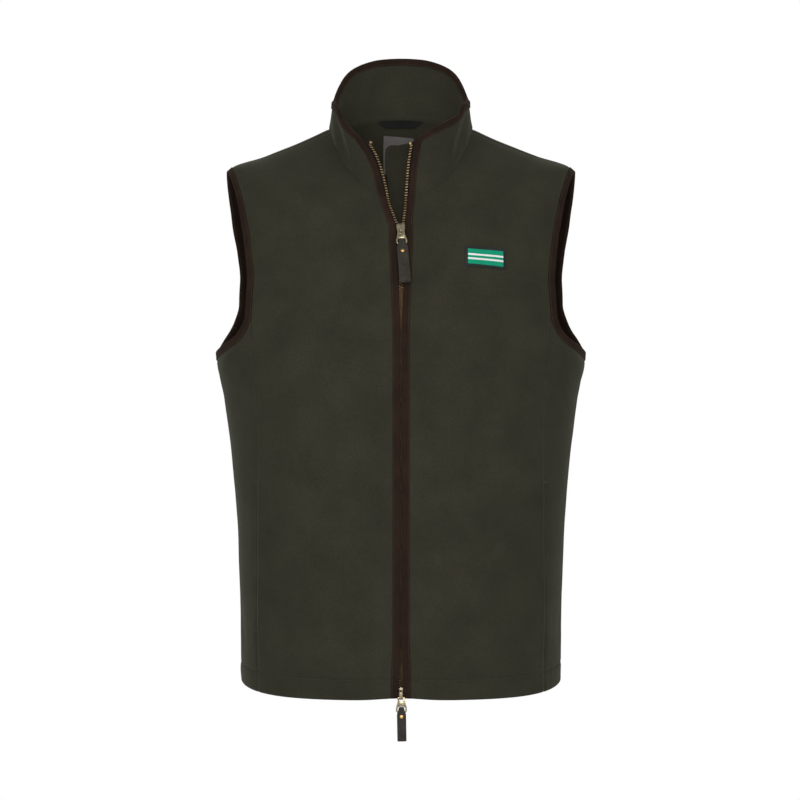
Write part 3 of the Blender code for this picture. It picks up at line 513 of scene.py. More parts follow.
def front_rows(side):
    """Rows of a front panel: points at the zip edge, its binding line, the outer end and the armhole."""
    low = seam_levels(on_loop(ARMHOLE_INNER, AT_FRONT_SEAM)[1])
    places = armhole_places(AT_FRONT_SEAM, AT_SHOULDER)
    arm = on_loop(ARMHOLE_INNER, places)
    top = spaced(arm[-1, 1], NECK, SHOULDER_ROWS)[1:]
    seam = np.stack([seam_angle(low), low], -1)
    shoulder = np.stack([shoulder_angle(top), top], -1)
    ends = np.vstack([seam[:-1], arm, shoulder])
    edge, inner = front_chain(body, side, ends[:, 1])
    return edge, inner, half_gap(body, ends, -1), on_loop(ARMHOLE_EDGE, places), len(low) - 1


def back_rows():
    """Rows of half the back: points at the side or armhole, the armhole's edge and the centre back."""
    low = seam_levels(on_loop(ARMHOLE_INNER, AT_BACK_SEAM)[1])
    places = armhole_places(AT_BACK_SEAM, AT_SHOULDER + LOOP)
    arm = on_loop(ARMHOLE_INNER, places)
    top = spaced(arm[-1, 1], NECK, SHOULDER_ROWS)[1:]
    seam = np.stack([np.full(len(low), SIDE_BACK_SEAM), low], -1)
    shoulder = np.stack([shoulder_angle(top), top], -1)
    ends = np.vstack([seam[:-1], arm, shoulder])
    centre = np.stack([np.full(len(ends), CENTRE_BACK), ends[:, 1]], -1)
    return half_gap(body, ends, 1), on_loop(ARMHOLE_EDGE, places), centre, len(low) - 1


def mirrored(pattern, side):
    """Pattern points for the wearer's left (1) or right (-1)."""
    return pattern * np.array([side, 1.0])


def over_neck_seam(lower, upper):
    """Sections of a piece that runs up from the body on to the collar; it bends once, at the neck seam."""
    return np.concatenate([lower[:-1], (lower[-1:] + upper[:1]) / 2, upper[1:]])


# The collar's rows, and the corner points that the front and top bindings share
COLLAR_RISES = np.linspace(0, 0.74, 20)
CORNER_CUT = {1: 0.8, -1: 2.0}
FAN = 0.8


def collar_half(side):
    """Pattern grid of half the collar, zip edge to centre back, with the columns of the panels below."""
    height = np.linalg.norm(collar(side * 0.3, 1.0) - collar(side * 0.3, 0.0))
    rises = np.append(COLLAR_RISES, [1 - COLLAR_BINDING / height, 1.0])
    edge, inner = front_chain(collar, side, rises)
    _, panel_inner, panel_end, *_ = front_rows(side)
    ahead = panel_inner[-1, 0] + (panel_end[-1, 0] - panel_inner[-1, 0]) * columns(FRONT_COLUMNS)
    seam = shoulder_angle(NECK)
    behind = seam + (CENTRE_BACK - seam) * columns(BACK_COLUMNS)
    angles = np.concatenate([ahead[:-1], behind])
    shares = (angles - angles[0]) / (CENTRE_BACK - angles[0])
    centre = np.stack([np.full(len(rises), CENTRE_BACK), rises], -1)
    return np.concatenate([edge[:, None], ruled(inner, centre, shares)], 1)


def collar_grid():
    """The collar's pattern grid from the wearer's left end round the back to the right end."""
    left, right = collar_half(1), collar_half(-1)
    round_back = right[:, -2::-1] * np.array([-1, 1]) + np.array([2 * math.pi, 0])
    grid = np.concatenate([left, round_back], 1)
    middle = grid[:, 1:-1]
    angles = middle[-1, :, 0]
    rise = collar(angles, np.ones_like(angles)) - collar(angles, np.zeros_like(angles))
    middle[-2, :, 1] = 1 - COLLAR_BINDING / np.linalg.norm(rise, axis=-1)
    grid[-2, 0, 1], grid[-2, -1, 1] = grid[-2, 1, 1], grid[-2, -2, 1]
    for end, side in ((0, 1), (-1, -1)):
        corner = grid[-1, end]
        toward = unit(collar(*grid[-2, end + side]) - collar(*corner))
        grid[-1, end] = walk(collar, corner, toward, CORNER_CUT[side])
    return grid


def fan(inner, edge):
    """Parts the inner points of the stations that share a corner, so that no section is folded flat."""
    for end, step in ((0, 1), (-1, -1)):
        across, _ = slopes_of(collar, edge[end])
        inner[end + step, 0] += step * FAN / np.linalg.norm(across)


def mitre(section, neighbour):
    """A mitred end, drawn back half a seam's gap towards its neighbour."""
    return section + unit((neighbour - section).mean(0)) * SEAM_GAP


def x_edge(form, levels, x, side=1):
    """Pattern points at the given levels where the form is x(z) from the middle, for one side."""
    levels = np.asarray(levels, float)
    return mirrored(np.stack([angle_where(form, levels, x, -X_LIMIT, X_LIMIT, side), levels], -1), side)


def behind_back(x, below):
    """Pattern points on the back, by width from the middle and distance below the neck seam."""
    levels = NECK - np.asarray(below, float)
    reach = smooth(BODY["level"], BODY["back"], levels)
    return np.stack([math.pi - np.asarray(x) / reach, levels], -1)


def four_sided(corners, columns, rows):
    """A grid of pattern points inside four corners, given round the edge from the lower left."""
    low = ruled(corners[0][None], corners[1][None], spaced(0, 1, columns))[0]
    high = ruled(corners[3][None], corners[2][None], spaced(0, 1, columns))[0]
    return np.swapaxes(ruled(low, high, spaced(0, 1, rows)), 0, 1)


# Creases and sewing: soft lines in the cloth that push every face near them in or out

RELIEF = []


def add_relief(form, pattern, depth, width, fade=True):
    """A trough (depth under 0) or ridge along pattern points, width mm to each side."""
    points = on(form, pattern)
    depth = np.broadcast_to(np.asarray(depth, float), len(points)).copy()
    if fade:
        depth *= np.sin(np.pi * np.linspace(0.03, 0.97, len(points))) ** 0.8
    RELIEF.append((form, points, depth, width))


def relief(form, points):
    """How far the cloth stands out of its form, in millimetres, at points on the form."""
    total = np.zeros(len(points))
    for where, line, depth, width in RELIEF:
        if where is not form:
            continue
        low, high = line.min(0) - 3 * width, line.max(0) + 3 * width
        near = np.flatnonzero(((points > low) & (points < high)).all(1))
        for part in np.array_split(near, 1 + len(near) // 2000):
            if len(part):
                gaps = np.linalg.norm(points[part, None] - line[None], axis=2)
                closest = gaps.argmin(1)
                nearest = gaps[np.arange(len(part)), closest]
                total[part] += depth[closest] * np.exp(-((nearest / width) ** 2))
    return total


def soft_swell(points):
    """The slight unevenness of cloth that has been worn, in millimetres."""
    broad, fine = (np.array([noise.noise(Vector(p) / size) for p in points]) for size in SWELL_SIZES)
    return 0.7 * broad + 0.3 * fine


SWELL = 0.8
SWELL_SIZES = (62.0, 23.0)
HEM_PUFF = 0.35


def straight(form, start, end, bend=0.0, count=24):
    """Pattern points from one to another, bowed sideways by a share of their distance."""
    t = np.linspace(0, 1, count)[:, None]
    start, end = np.asarray(start, float), np.asarray(end, float)
    scale = np.array([0.008, 1.0]) if form is body else np.array([1.0, 1.0])
    across = (end - start) / scale
    side = np.array([-across[1], across[0]]) * scale
    return start + (end - start) * t + side * bend * 4 * t * (1 - t)


def plan_creases():
    """Places every seam, hem line and crease, the same on both sides but for small uneven amounts."""
    chance = random.Random(11)
    _, _, ends, _, first = front_rows(1)
    for side in SIDES:
        seam = mirrored(ends[: first + 1], side)
        add_relief(body, seam, -1.1, 1.7, fade=False)
        add_relief(body, seam + np.array([side * 0.035, 0]), 0.5, 6.0)
        pocket = seam[(seam[:, 1] > POCKET[0]) & (seam[:, 1] < POCKET[1])]
        add_relief(body, pocket + np.array([-side * 0.012, 0]), 0.9, 3.2)
        add_relief(body, pocket + np.array([side * 0.03, 0]), -0.8, 5.0)
        shoulder = mirrored(ends[first + ARMHOLE_ROWS :], side)
        add_relief(body, shoulder, -1.0, 1.7, fade=False)
        back_seam = np.stack([np.full(120, side * SIDE_BACK_SEAM), np.linspace(0, ends[first, 1], 120)], -1)
        add_relief(body, back_seam, -1.0, 1.7, fade=False)
        loop = mirrored(ARMHOLE_INNER, side)
        add_relief(body, np.vstack([loop, loop[:1]]), -0.5, 2.2, fade=False)
        for start, end, bend, depth, width in CREASES:
            wobble = np.array([chance.uniform(-0.02, 0.02), chance.uniform(-4, 4)])
            places = [np.array([math.radians(a), level]) + wobble for a, level in (start, end)]
            uneven = depth * chance.uniform(0.8, 1.2)
            add_relief(body, mirrored(straight(body, *places, bend), side), uneven, width)
        for start, end, bend, depth, width in COLLAR_CREASES:
            places = [np.array([math.radians(a + chance.uniform(-1, 1)), rise]) for a, rise in (start, end)]
            uneven = depth * chance.uniform(0.8, 1.2)
            add_relief(collar, mirrored(straight(collar, *places, bend), side), uneven, width)
    for form, level in ((body, NECK), (collar, 0.0)):
        around = np.stack([np.linspace(-math.pi, math.pi, 400), np.full(400, level)], -1)
        add_relief(form, around, -0.5, 2.0, fade=False)
    hem_depth = [-1.2 + 0.45 * chance.uniform(-1, 1) for _ in range(500)]
    around = np.stack([np.linspace(-math.pi, math.pi, 500), np.full(500, HEM_DEPTH)], -1)
    add_relief(body, around, hem_depth, 1.5, fade=False)
    for _ in range(HEM_PUCKERS):
        angle, lean = chance.uniform(-math.pi, math.pi), chance.uniform(-0.02, 0.02)
        if abs(angle) > 0.12:
            reach = HEM_DEPTH + chance.uniform(-8, 14)
            line = straight(body, (angle, chance.uniform(3, 8)), (angle + lean, reach), count=10)
            add_relief(body, line, chance.choice((-0.7, -0.5, 0.6)), chance.uniform(2.2, 4.0))


# Meshes


def placed(name, data, place=None):
    """A new object in the scene."""
    thing = bpy.data.objects.new(name, data)
    if place:
        thing.matrix_world = place
    bpy.context.scene.collection.objects.link(thing)
    return thing


def finished(piece, surface, node=None, rides="gilet"):
    """Gives a piece its surface, its body and the solid that it takes the place of."""
    piece.data.materials.clear()
    piece.data.materials.append(surface)
    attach(piece, rides)
    if node:
        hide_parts(node)
    return piece


def made(mesh, surface, node=None):
    return finished(placed(mesh.name, mesh), surface, node)


def mesh_of(name, points, faces, smooth_under=50):
    mesh = bpy.data.meshes.new(name)
    mesh.from_pydata([tuple(p) for p in np.asarray(points) * MM], [], faces)
    shape = bmesh.new()
    shape.from_mesh(mesh)
    bmesh.ops.recalc_face_normals(shape, faces=shape.faces)
    shape.to_mesh(mesh)
    shape.free()
    mesh.shade_smooth()
    mesh.set_sharp_from_angle(angle=math.radians(smooth_under))
    return mesh


def out_of(form, pattern):
    """Unit vectors out of the cloth, shared by the body and the collar along the seam between them."""
    out = normal(form, pattern)
    other, meeting, own = (collar, 0.0, NECK) if form is body else (body, NECK, 0.0)
    both = unit(out + normal(other, np.stack([pattern[:, 0], np.full(len(pattern), meeting)], -1)))
    return np.where(np.abs(pattern[:, 1] - own)[:, None] < 1e-6, both, out)


def closed_faces(quads, count):
    """The quads, the same ones count points further on turned over, and the rim between the two."""
    uses = Counter(tuple(sorted((q[k], q[k - 1]))) for q in quads for k in range(4))
    rim = [(a, b, b + count, a + count) for (a, b), times in uses.items() if times == 1]
    return quads + [tuple(v + count for v in reversed(q)) for q in quads] + rim


def wall(name, form, patches):
    """A closed wall over grids of pattern points, which share the points where they meet."""
    ids = {}
    quads = []
    for grid in patches:
        key = lambda p: ids.setdefault((round(p[0], 6), round(p[1], 4)), len(ids))
        rows = [[key(p) for p in row] for row in grid]
        for low, high in zip(rows, rows[1:]):
            quads += [(low[c], low[c + 1], high[c + 1], high[c]) for c in range(len(low) - 1)]
    pattern = np.array(list(ids))
    top = cloth_height(form, pattern)
    under = top - (body_thickness(pattern) if form is body else CLOTH)
    face, out = on(form, pattern), out_of(form, pattern)
    points = np.vstack([face + out * top[:, None], face + out * under[:, None]])
    return mesh_of(name, points, closed_faces(quads, len(pattern)))


def sweep(name, sections, closed=False):
    """A closed body through sections of points, joined end to end or capped."""
    sections = np.asarray(sections)
    stations, corners = sections.shape[:2]
    faces = ring_faces(stations, corners)
    if closed:
        last = (stations - 1) * corners
        sides = [(a, (a + 1) % corners) for a in range(corners)]
        faces = faces[:-2] + [(last + a, last + b, b, a) for a, b in sides]
    return mesh_of(name, sections.reshape(-1, 3), faces)


def both_ways(faces):
    """Sections from pairs of outer and inner lines, out along the first and back along the second."""
    return np.stack([f[0] for f in faces] + [f[1] for f in reversed(faces)], 1)


def copies(name, template, faces, origins, frames, smooth_under=50):
    """One mesh of many copies of a small shape: frames hold each copy's three axes as rows."""
    points = origins[:, None, :] + np.einsum("vk,nkj->nvj", template, frames)
    count = len(template)
    all_faces = [tuple(v + n * count for v in face) for n in range(len(origins)) for face in faces]
    return mesh_of(name, points.reshape(-1, 3), all_faces, smooth_under)


def ring_faces(rings, corners):
    """Faces between rings of points and over both ends."""
    faces = []
    for r in range(rings - 1):
        for a in range(corners):
            b = (a + 1) % corners
            faces.append((r * corners + a, r * corners + b, (r + 1) * corners + b, (r + 1) * corners + a))
    return faces + [tuple(range(corners)), tuple(range((rings - 1) * corners, rings * corners))]


# Bindings: their section by width from the inner line and height off the cloth, outside, inside, and
# beside the folded edge, where the width counts from the cloth's edge

LEG = ((0.0, 0.3), (0.0, 0.75), (0.35, 1.0), (1.3, 0.75), (2.3, 1.05), (3.8, 1.15))
UNDER = ((3.8, -3.75), (2.3, -3.6), (1.3, -3.35), (0.35, -3.5), (0.0, -3.1), (0.0, -2.55))
NEAR_EDGE = ((-1.2, 1.2), (-1.2, -3.6))
INSIDE_FOLD = ((-0.4, -2.5), (FOLD - 1.15, -1.9), (FOLD - 1.15, -0.3), (-0.4, 0.28))
INNER_LEG = 4.0
FOLD_TURNS = 7


def binding_points(form, edge, inner, wider=0.0):
    """Rounded U-shaped sections of binding folded round a cloth edge, wider inside by wider mm."""
    e, i = (offset(form, line, cloth_height(form, line)) for line in (edge, inner))
    at_edge, at_inner = normal(form, edge), normal(form, inner)
    along = e - i
    width = np.linalg.norm(along, axis=-1)
    out = along / width[:, None]

    def at(a, h):
        share = np.clip(a / width, 0, 1)[:, None]
        beyond = (np.clip(a - width, 0, None) + np.clip(a, None, 0))[:, None]
        up = at_inner * (1 - share) + at_edge * share
        return i + along * share + out * beyond + up * np.asarray(h)[..., None]

    middle, half = -CLOTH / 2, CLOTH / 2 + SKIN_GAP + BINDING_SKIN + 0.15
    turns = np.radians(np.linspace(72, -72, FOLD_TURNS))
    fold = [at(width + FOLD * math.cos(t), np.full(len(width), middle + half * math.sin(t))) for t in turns]
    flat = lambda a, h: at(np.full(len(width), a), np.full(len(width), h))
    near_edge = [at(width + a, np.full(len(width), h)) for a, h in NEAR_EDGE]
    inside = [at(width + a, np.full(len(width), h)) for a, h in INSIDE_FOLD]
    legs = [flat(a, h) for a, h in LEG]
    under = [flat(a if a > 3 else a - wider, h) for a, h in UNDER]
    sections = np.stack([*legs, near_edge[0], *fold, near_edge[1], *under, *inside], 1)
    return sections, flat(1.3, 0.9), flat(1.3 - wider, -3.5), at_inner


def even_run(points, normals, pitch):
    """Places and frames spaced evenly along a run of points."""
    run = run_along(points)
    s = np.arange(pitch / 2, run[-1], pitch)
    along = unit(read_at(s + 0.3, run, points) - read_at(s - 0.3, run, points))
    side = unit(np.cross(along, read_at(s, run, normals)))
    return read_at(s, run, points), np.stack([side, np.cross(side, along), along], 1)


# Materials


def add_node(tree, kind, values, joins, **settings):
    """A node with numbers set on some of its sockets and links to others."""
    node = tree.nodes.new(kind)
    for key, value in settings.items():
        setattr(node, key, value)
    for socket, value in values.items():
        node.inputs[socket].default_value = value
    for socket, source in joins.items():
        tree.links.new(source, node.inputs[socket])
    return node


def noise_of(tree, where, scale, detail, rough):
    values = {"Scale": scale, "Detail": detail, "Roughness": rough}
    return add_node(tree, "ShaderNodeTexNoise", values, {"Vector": where}).outputs["Fac"]


def blend(tree, share, low, high):
    """A colour between two, chosen by a share."""
    ramp = add_node(tree, "ShaderNodeValToRGB", {}, {"Fac": share})
    for element, position, colour in zip(ramp.color_ramp.elements, (0.3, 0.7), (low, high)):
        element.position, element.color = position, (*colour, 1)
    return ramp.outputs["Color"]


def bump(tree, height, strength, distance, joins):
    values = {"Strength": strength, "Distance": distance}
    return add_node(tree, "ShaderNodeBump", values, {"Height": height, **joins}).outputs["Normal"]


def finish(name, low, high, roughness, metallic=0.0, patch=30.0, grain=700.0, speck=0.25, relief_mm=0.25,
           sheen=0.0, weave=(), tint=(1, 1, 1), gloss=0.16):
    """A surface whose colour drifts between two over patches, with a grain in its colour and height."""
    material = bpy.data.materials.new(name)
    material.use_nodes = True
    tree = material.node_tree
    where = tree.nodes.new("ShaderNodeTexCoord").outputs["Object"]
    colour = blend(tree, noise_of(tree, where, patch, 3.0, 0.55), low, high)
    fine = noise_of(tree, where, grain, 6.0, 0.7)
    grey = blend(tree, fine, (1 - speck,) * 3, (1 + speck,) * 3)
    colour = add_node(tree, "ShaderNodeMix", {"Factor": 1.0}, {"A": colour, "B": grey},
                      data_type="RGBA", blend_type="MULTIPLY").outputs["Result"]
    surface = bump(tree, fine, 0.6, relief_mm * MM, {})
    for axis, scale in weave:
        wave = add_node(tree, "ShaderNodeTexWave", {"Scale": scale, "Distortion": 0.6}, {"Vector": where},
                        bands_direction=axis)
        surface = bump(tree, wave.outputs["Fac"], 0.5, 0.12 * MM, {"Normal": surface})
    shader = tree.nodes["Principled BSDF"]
    tree.links.new(colour, shader.inputs["Base Color"])
    tree.links.new(surface, shader.inputs["Normal"])
    values = {
        "Roughness": roughness,
        "Metallic": metallic,
        "Sheen Weight": sheen,
        "Sheen Roughness": 0.45,
        "Sheen Tint": (*tint, 1),
        "Specular IOR Level": gloss,
    }
    for socket, value in values.items():
        shader.inputs[socket].default_value = value
    return material


# Finishes, calibrated to the light of the scene below

CLOTH_LOOK = {"patch": 22, "grain": 900, "speck": 0.35, "relief_mm": 0.5, "tint": (0.75, 0.78, 0.6)}
METAL_LOOK = {"patch": 180, "grain": 700, "relief_mm": 0.08}
BRASS_LOOK = {"patch": 160, "grain": 900, "speck": 0.3, "relief_mm": 0.05}
FLEECE = finish("fleece", (0.0205, 0.0198, 0.0124), (0.0274, 0.0263, 0.0166), 0.95, sheen=0.12, **CLOTH_LOOK)
# A darker copy of the fleece for the zip guard: painted shade, for the shadow deep in the V behind the zip
GUARD_PAINTED_SHADE = finish("guard_fleece_painted_shade", (0.0124, 0.012, 0.0075), (0.0165, 0.0158, 0.01), 0.95, sheen=0.06,
                      **CLOTH_LOOK)
BINDING = finish("binding", (0.0112, 0.0052, 0.0027), (0.019, 0.0091, 0.005), 0.9, patch=45, grain=1400,
                 speck=0.3, relief_mm=0.12, sheen=0.05, tint=(0.9, 0.7, 0.55))
THREAD_FINISH = finish("thread", (0.045, 0.030, 0.020), (0.075, 0.052, 0.036), 0.8, grain=3000,
                       relief_mm=0.05)
OLIVE_THREAD = finish("olive_thread", (0.038, 0.036, 0.024), (0.056, 0.054, 0.036), 0.85, grain=3000,
                      relief_mm=0.05)
TAPE_FINISH = finish("tape", (0.008, 0.008, 0.008), (0.014, 0.014, 0.013), 0.9, grain=1800, relief_mm=0.1,
                     weave=(("X", 700), ("Z", 500)))
# A duller, darker copy of the brass for the closed teeth below the top slider: painted shade, for the shadow
# in the narrow gap between the bindings
BRASS_PAINTED_SHADE = finish("brass_painted_shade", (0.10, 0.06, 0.026), (0.21, 0.13, 0.058), 0.45, 1.0, **BRASS_LOOK)
BRASS = finish("aged_brass", (0.22, 0.13, 0.055), (0.44, 0.275, 0.13), 0.42, 0.45, **BRASS_LOOK)
SLIDER_METAL = finish("slider_metal", (0.20, 0.165, 0.095), (0.43, 0.375, 0.25), 0.36, 0.9, speck=0.3,
                      **METAL_LOOK)
# A slightly darker copy of the slider metal for the slider's body: painted shade, so that the bail reads as
# lit
SLIDER_PAINTED_SHADE = finish("slider_painted_shade", (0.19, 0.16, 0.10), (0.40, 0.35, 0.24), 0.36, 0.9, speck=0.35,
                    **METAL_LOOK)
RIVET_BRASS = finish("rivet_brass", (0.55, 0.33, 0.10), (0.75, 0.50, 0.20), 0.3, 1.0, patch=200, grain=900,
                     speck=0.2, relief_mm=0.03)
LEATHER_FINISH = finish("leather", (0.019, 0.0155, 0.012), (0.033, 0.028, 0.023), 0.75, patch=110, grain=520,
                        speck=0.3, relief_mm=0.15, gloss=0.2)
LABEL_FINISH = finish("label", (0.10, 0.094, 0.088), (0.13, 0.12, 0.115), 0.7, grain=1500, relief_mm=0.05,
                      weave=(("X", 900),))
PATCH_FINISH = finish("patch", (0.013, 0.016, 0.016), (0.022, 0.026, 0.026), 0.8, grain=1800,
                      relief_mm=0.12, weave=(("X", 600), ("Z", 600)))
GREEN = finish("patch_green", (0.0, 0.21, 0.115), (0.0, 0.27, 0.15), 0.65, grain=1600, relief_mm=0.1,
               weave=(("Z", 800),))
WHITE = finish("patch_white", (0.62, 0.62, 0.6), (0.75, 0.75, 0.73), 0.7, grain=1600, relief_mm=0.1,
               weave=(("Z", 800),))


# Runs of stitches: the thread's length, radius and sink at five rings

STITCH = 2.7
THREAD = 0.32
THREAD_RINGS = (
    (-0.5, 0.45, -0.35), (-0.32, 0.9, 0.02), (0, 1.0, 0.08), (0.32, 0.9, 0.02), (0.5, 0.45, -0.35),
)


def sew(name, points, normals, thread=THREAD_FINISH, pitch=STITCH, share=0.52, slant=0.0):
    """A run of stitches that dip into the cloth at each end."""
    template, corners = [], 6
    for z, radius, sink in THREAD_RINGS:
        for t in np.arange(corners) * 2 * math.pi / corners:
            across = THREAD * radius * math.cos(t) + slant * z
            template.append((across, THREAD * radius * math.sin(t) + sink, z * pitch * share))
    faces = ring_faces(len(THREAD_RINGS), corners)
    made(copies(name, np.array(template), faces, *even_run(points, normals, pitch), 80), thread)


def stitch_line(name, form, pattern, **sizes):
    """Stitches in olive thread on the cloth's face."""
    points = offset(form, pattern, cloth_height(form, pattern))
    sew(name, points, normal(form, pattern), OLIVE_THREAD, **sizes)


# The cloth panels


def cloth_height(form, pattern):
    """How far the cloth's outer face stands out of its form, in millimetres."""
    points = on(form, pattern).reshape(-1, 3)
    calm = np.clip((np.abs(points[:, 0]) - 12) / 30, 0, 1)
    calm = np.where(points[:, 1] < 0, calm, 1)
    total = relief(form, points) + SWELL * calm * soft_swell(points)
    if form is body:
        level = pattern[..., 1].reshape(-1)
        total += HEM_PUFF * np.clip((HEM_DEPTH - level) / 4, 0, 1) - hem_roll(pattern).reshape(-1)
    return total.reshape(pattern.shape[:-1])


def hem_roll(pattern):
    """How far the hem's folded edge curls in, in millimetres, away from the zip."""
    away = np.abs(pattern[..., 0]) > math.radians(8)
    return 1.3 * away * np.clip(1 - pattern[..., 1] / 2.6, 0, 1) ** 2


def body_thickness(pattern):
    """Thickness of the body's cloth: two layers in the hem, away from the zip."""
    away = np.abs(pattern[:, 0]) > math.radians(8)
    turned_up = (pattern[:, 1] < HEM_DEPTH + HEM_STEP / 2) & away
    return np.where(turned_up, HEM_LAYERS, CLOTH) - 2 * hem_roll(pattern)


def build_front(side):
    name = SIDES[side]
    edge, inner, ends, armhole, first = front_rows(side)
    strip = np.stack([ends[first : first + ARMHOLE_ROWS + 1], armhole], 1)
    strip[0, 1], strip[-1, 1] = half_gap(body, strip[0, 1], -1), half_gap(body, strip[-1, 1], -1)
    patches = [np.stack([edge, inner], 1), ruled(inner, ends, columns(FRONT_COLUMNS)), strip]
    mesh = wall(f"cloth_front_{name}", body, [mirrored(p, side) for p in patches])
    panel(mesh, f"front_{name}")


def build_back():
    ends, armhole, centre, first = back_rows()
    grid = ruled(ends, centre, columns(BACK_COLUMNS))
    strip = np.stack([armhole, ends[first : first + ARMHOLE_ROWS + 1]], 1)
    strip[0, 0], strip[-1, 0] = half_gap(body, strip[0, 0], 1), half_gap(body, strip[-1, 0], 1)
    whole = lambda p: np.array([2 * math.pi, 0]) + p * np.array([-1, 1])
    mesh = wall("cloth_back", body, [grid, strip, whole(grid), whole(strip)])
    panel(mesh, "back")


def build_side(side):
    name = SIDES[side]
    places = side_places()
    tops, edge = on_loop(ARMHOLE_INNER, places), on_loop(ARMHOLE_EDGE, places)
    lines = []
    for share, top in zip(columns(SIDE_COLUMNS), tops):
        levels = seam_levels(top[1])
        angle = seam_angle(levels) * (1 - share) + SIDE_BACK_SEAM * share
        angle += (top[0] - angle[-1]) * np.clip((levels - HEM_TOP) / (top[1] - HEM_TOP), 0, 1) ** 2
        lines.append(np.stack([angle, levels], -1))
    grid = np.stack(lines, 1)
    strip = np.stack([edge, grid[-1]], 0)
    for part in (grid, strip):
        part[:, 0], part[:, -1] = half_gap(body, part[:, 0], 1), half_gap(body, part[:, -1], -1)
    mesh = wall(f"cloth_side_{name}", body, [mirrored(grid, side), mirrored(strip, side)])
    panel(mesh, f"side_{name}")


HEM_TOP = HEM_DEPTH + HEM_STEP


def side_places():
    """Places of the side panel's columns on the armhole's inner line, front to back."""
    return AT_FRONT_SEAM + (AT_BACK_SEAM - AT_FRONT_SEAM) * columns(SIDE_COLUMNS)


def panel(mesh, node):
    """A cloth panel that takes the place of its solid."""
    piece = made(mesh, FLEECE, node)


def build_collar():
    grid = collar_grid()
    mesh = wall("cloth_collar", collar, [grid])
    panel(mesh, "collar")
    edge, inner = grid[-1].copy(), grid[-2].copy()
    inner[0], inner[-1] = inner[1], inner[-2]
    fan(inner, edge)
    sections, over, under, up = binding_points(collar, edge, inner)
    sections[0], sections[-1] = mitre(sections[0], sections[1]), mitre(sections[-1], sections[-2])
    strip("collar_binding", sections, False, COLLAR_STRIP)
    sew("stitches_collar", over[2:-2], up[2:-2])
    sew("stitches_collar_inside", under[2:-2], -up[2:-2])


# Flat cuts of what shows: width and length in metres
COLLAR_STRIP = (0.018, 0.55)
FRONT_STRIP = (0.018, 0.70)
ARMHOLE_STRIP = (0.020, 0.60)


def strip(node, sections, closed, cut):
    """A binding that takes the place of its solid; cut is the width and length of its strip, and is not used.
    """
    piece = made(sweep(f"cloth_{node}", sections, closed), BINDING, node)


def build_armhole_binding(side):
    name = SIDES[side]
    front = armhole_places(AT_FRONT_SEAM, AT_SHOULDER)[::-1]
    back = armhole_places(AT_BACK_SEAM, AT_SHOULDER + LOOP)
    places = np.concatenate([front[:-1], side_places()[:-1], back[:-1]])
    edge, inner = on_loop(ARMHOLE_EDGE, places), on_loop(ARMHOLE_INNER, places)
    sections, over, under, up = binding_points(body, mirrored(edge, side), mirrored(inner, side), INNER_LEG)
    strip(f"armhole_binding_{name}", sections, True, ARMHOLE_STRIP)
    sew(f"stitches_armhole_{name}", np.vstack([over, over[:1]]), np.vstack([up, up[:1]]))
    sew(f"stitches_armhole_inside_{name}", np.vstack([under, under[:1]]), -np.vstack([up, up[:1]]))


def build_front_binding(side):
    name = SIDES[side]
    edge, inner, *_ = front_rows(side)
    lower, over, _, up = binding_points(body, mirrored(edge, side), mirrored(inner, side))
    grid = collar_grid() if side > 0 else collar_grid()[:, ::-1]
    collar_edge, collar_inner = grid[:, 0].copy(), grid[:, 1].copy()
    collar_inner[-1] = collar_inner[-2]
    _, rise = slopes_of(collar, collar_inner[-2])
    collar_inner[-2, 1] -= FAN / np.linalg.norm(rise)
    upper, upper_over, _, upper_up = binding_points(collar, collar_edge, collar_inner)
    upper[-1] = mitre(upper[-1], upper[-2])
    strip(f"front_binding_{name}", over_neck_seam(lower, upper), False, FRONT_STRIP)
    line = np.vstack([over[1:-1], upper_over[1:-2]])
    sew(f"stitches_front_{name}", line, np.vstack([up[1:-1], upper_up[1:-2]]))


# The zip: tapes with a cord at the edge, interleaved teeth, top stops

TOOTH_PITCH = 3.25
TOOTH = ((-1.45, 0.36), (-1.1, 0.56), (0.1, 0.64), (0.7, 0.54), (1.15, 0.6), (1.6, 0.34))
TOOTH_LAYERS = ((-1.25, 0.55), (-0.95, 0.85), (-0.4, 1.0), (0.4, 1.0), (0.95, 0.85), (1.25, 0.55))
TEETH_TOP = -25.5
STOP = ((-1.2, -1.3), (1.1, -1.3), (1.3, 0), (1.1, 1.3), (-1.2, 1.3))
CORD = 1.0
TAPE_PROFILE = (-0.9, 0.0, 0.9, 2.4, TAPE_BEND, 6.5, 9.0, TAPE_WIDTH)


def zip_path(side):
    """Points, normals and directions toward the other row along the middle of a row of teeth."""
    row = f"{SIDES[side]}_row"
    runs = []
    for form, levels in ((body, np.arange(3.0, NECK, 4.0)), (collar, np.arange(0.02, 0.99, 0.05))):
        at = x_edge(form, levels, lambda z: zip_value(row, z), side)
        near = x_edge(form, levels, lambda z: zip_value(row, z) - 1, side)
        depth = zip_value("depth", on(form, at)[:, 2])
        points = offset(form, at, depth)
        runs.append((points, normal(form, at), unit(offset(form, near, depth) - points)))
    return [np.vstack(parts) for parts in zip(*runs)]


def build_tape(side):
    row = f"{SIDES[side]}_row"
    stations = []
    for form, levels in ((body, np.arange(3.0, NECK + 1, 5.0)), (collar, np.linspace(0, 0.97, 18))):
        faces = []
        for a in TAPE_PROFILE:
            at = x_edge(form, levels, lambda z: zip_value(row, z) + a, side)
            teeth = zip_value("depth", on(form, at)[:, 2])
            depth = teeth + (TAPE_DEPTH - teeth) * np.clip(a / TAPE_BEND, 0, 1) ** 1.5
            thick = TAPE / 2 if a > 1 else CORD * math.sqrt(max(0.06, 1 - (a / 1.0) ** 2))
            faces.append((offset(form, at, depth + thick), offset(form, at, depth - thick)))
        stations.append(both_ways(faces))
    mesh = sweep(f"zip_cloth_{SIDES[side]}", over_neck_seam(*stations))
    made(mesh, TAPE_FINISH, f"zip_tape_{SIDES[side]}")


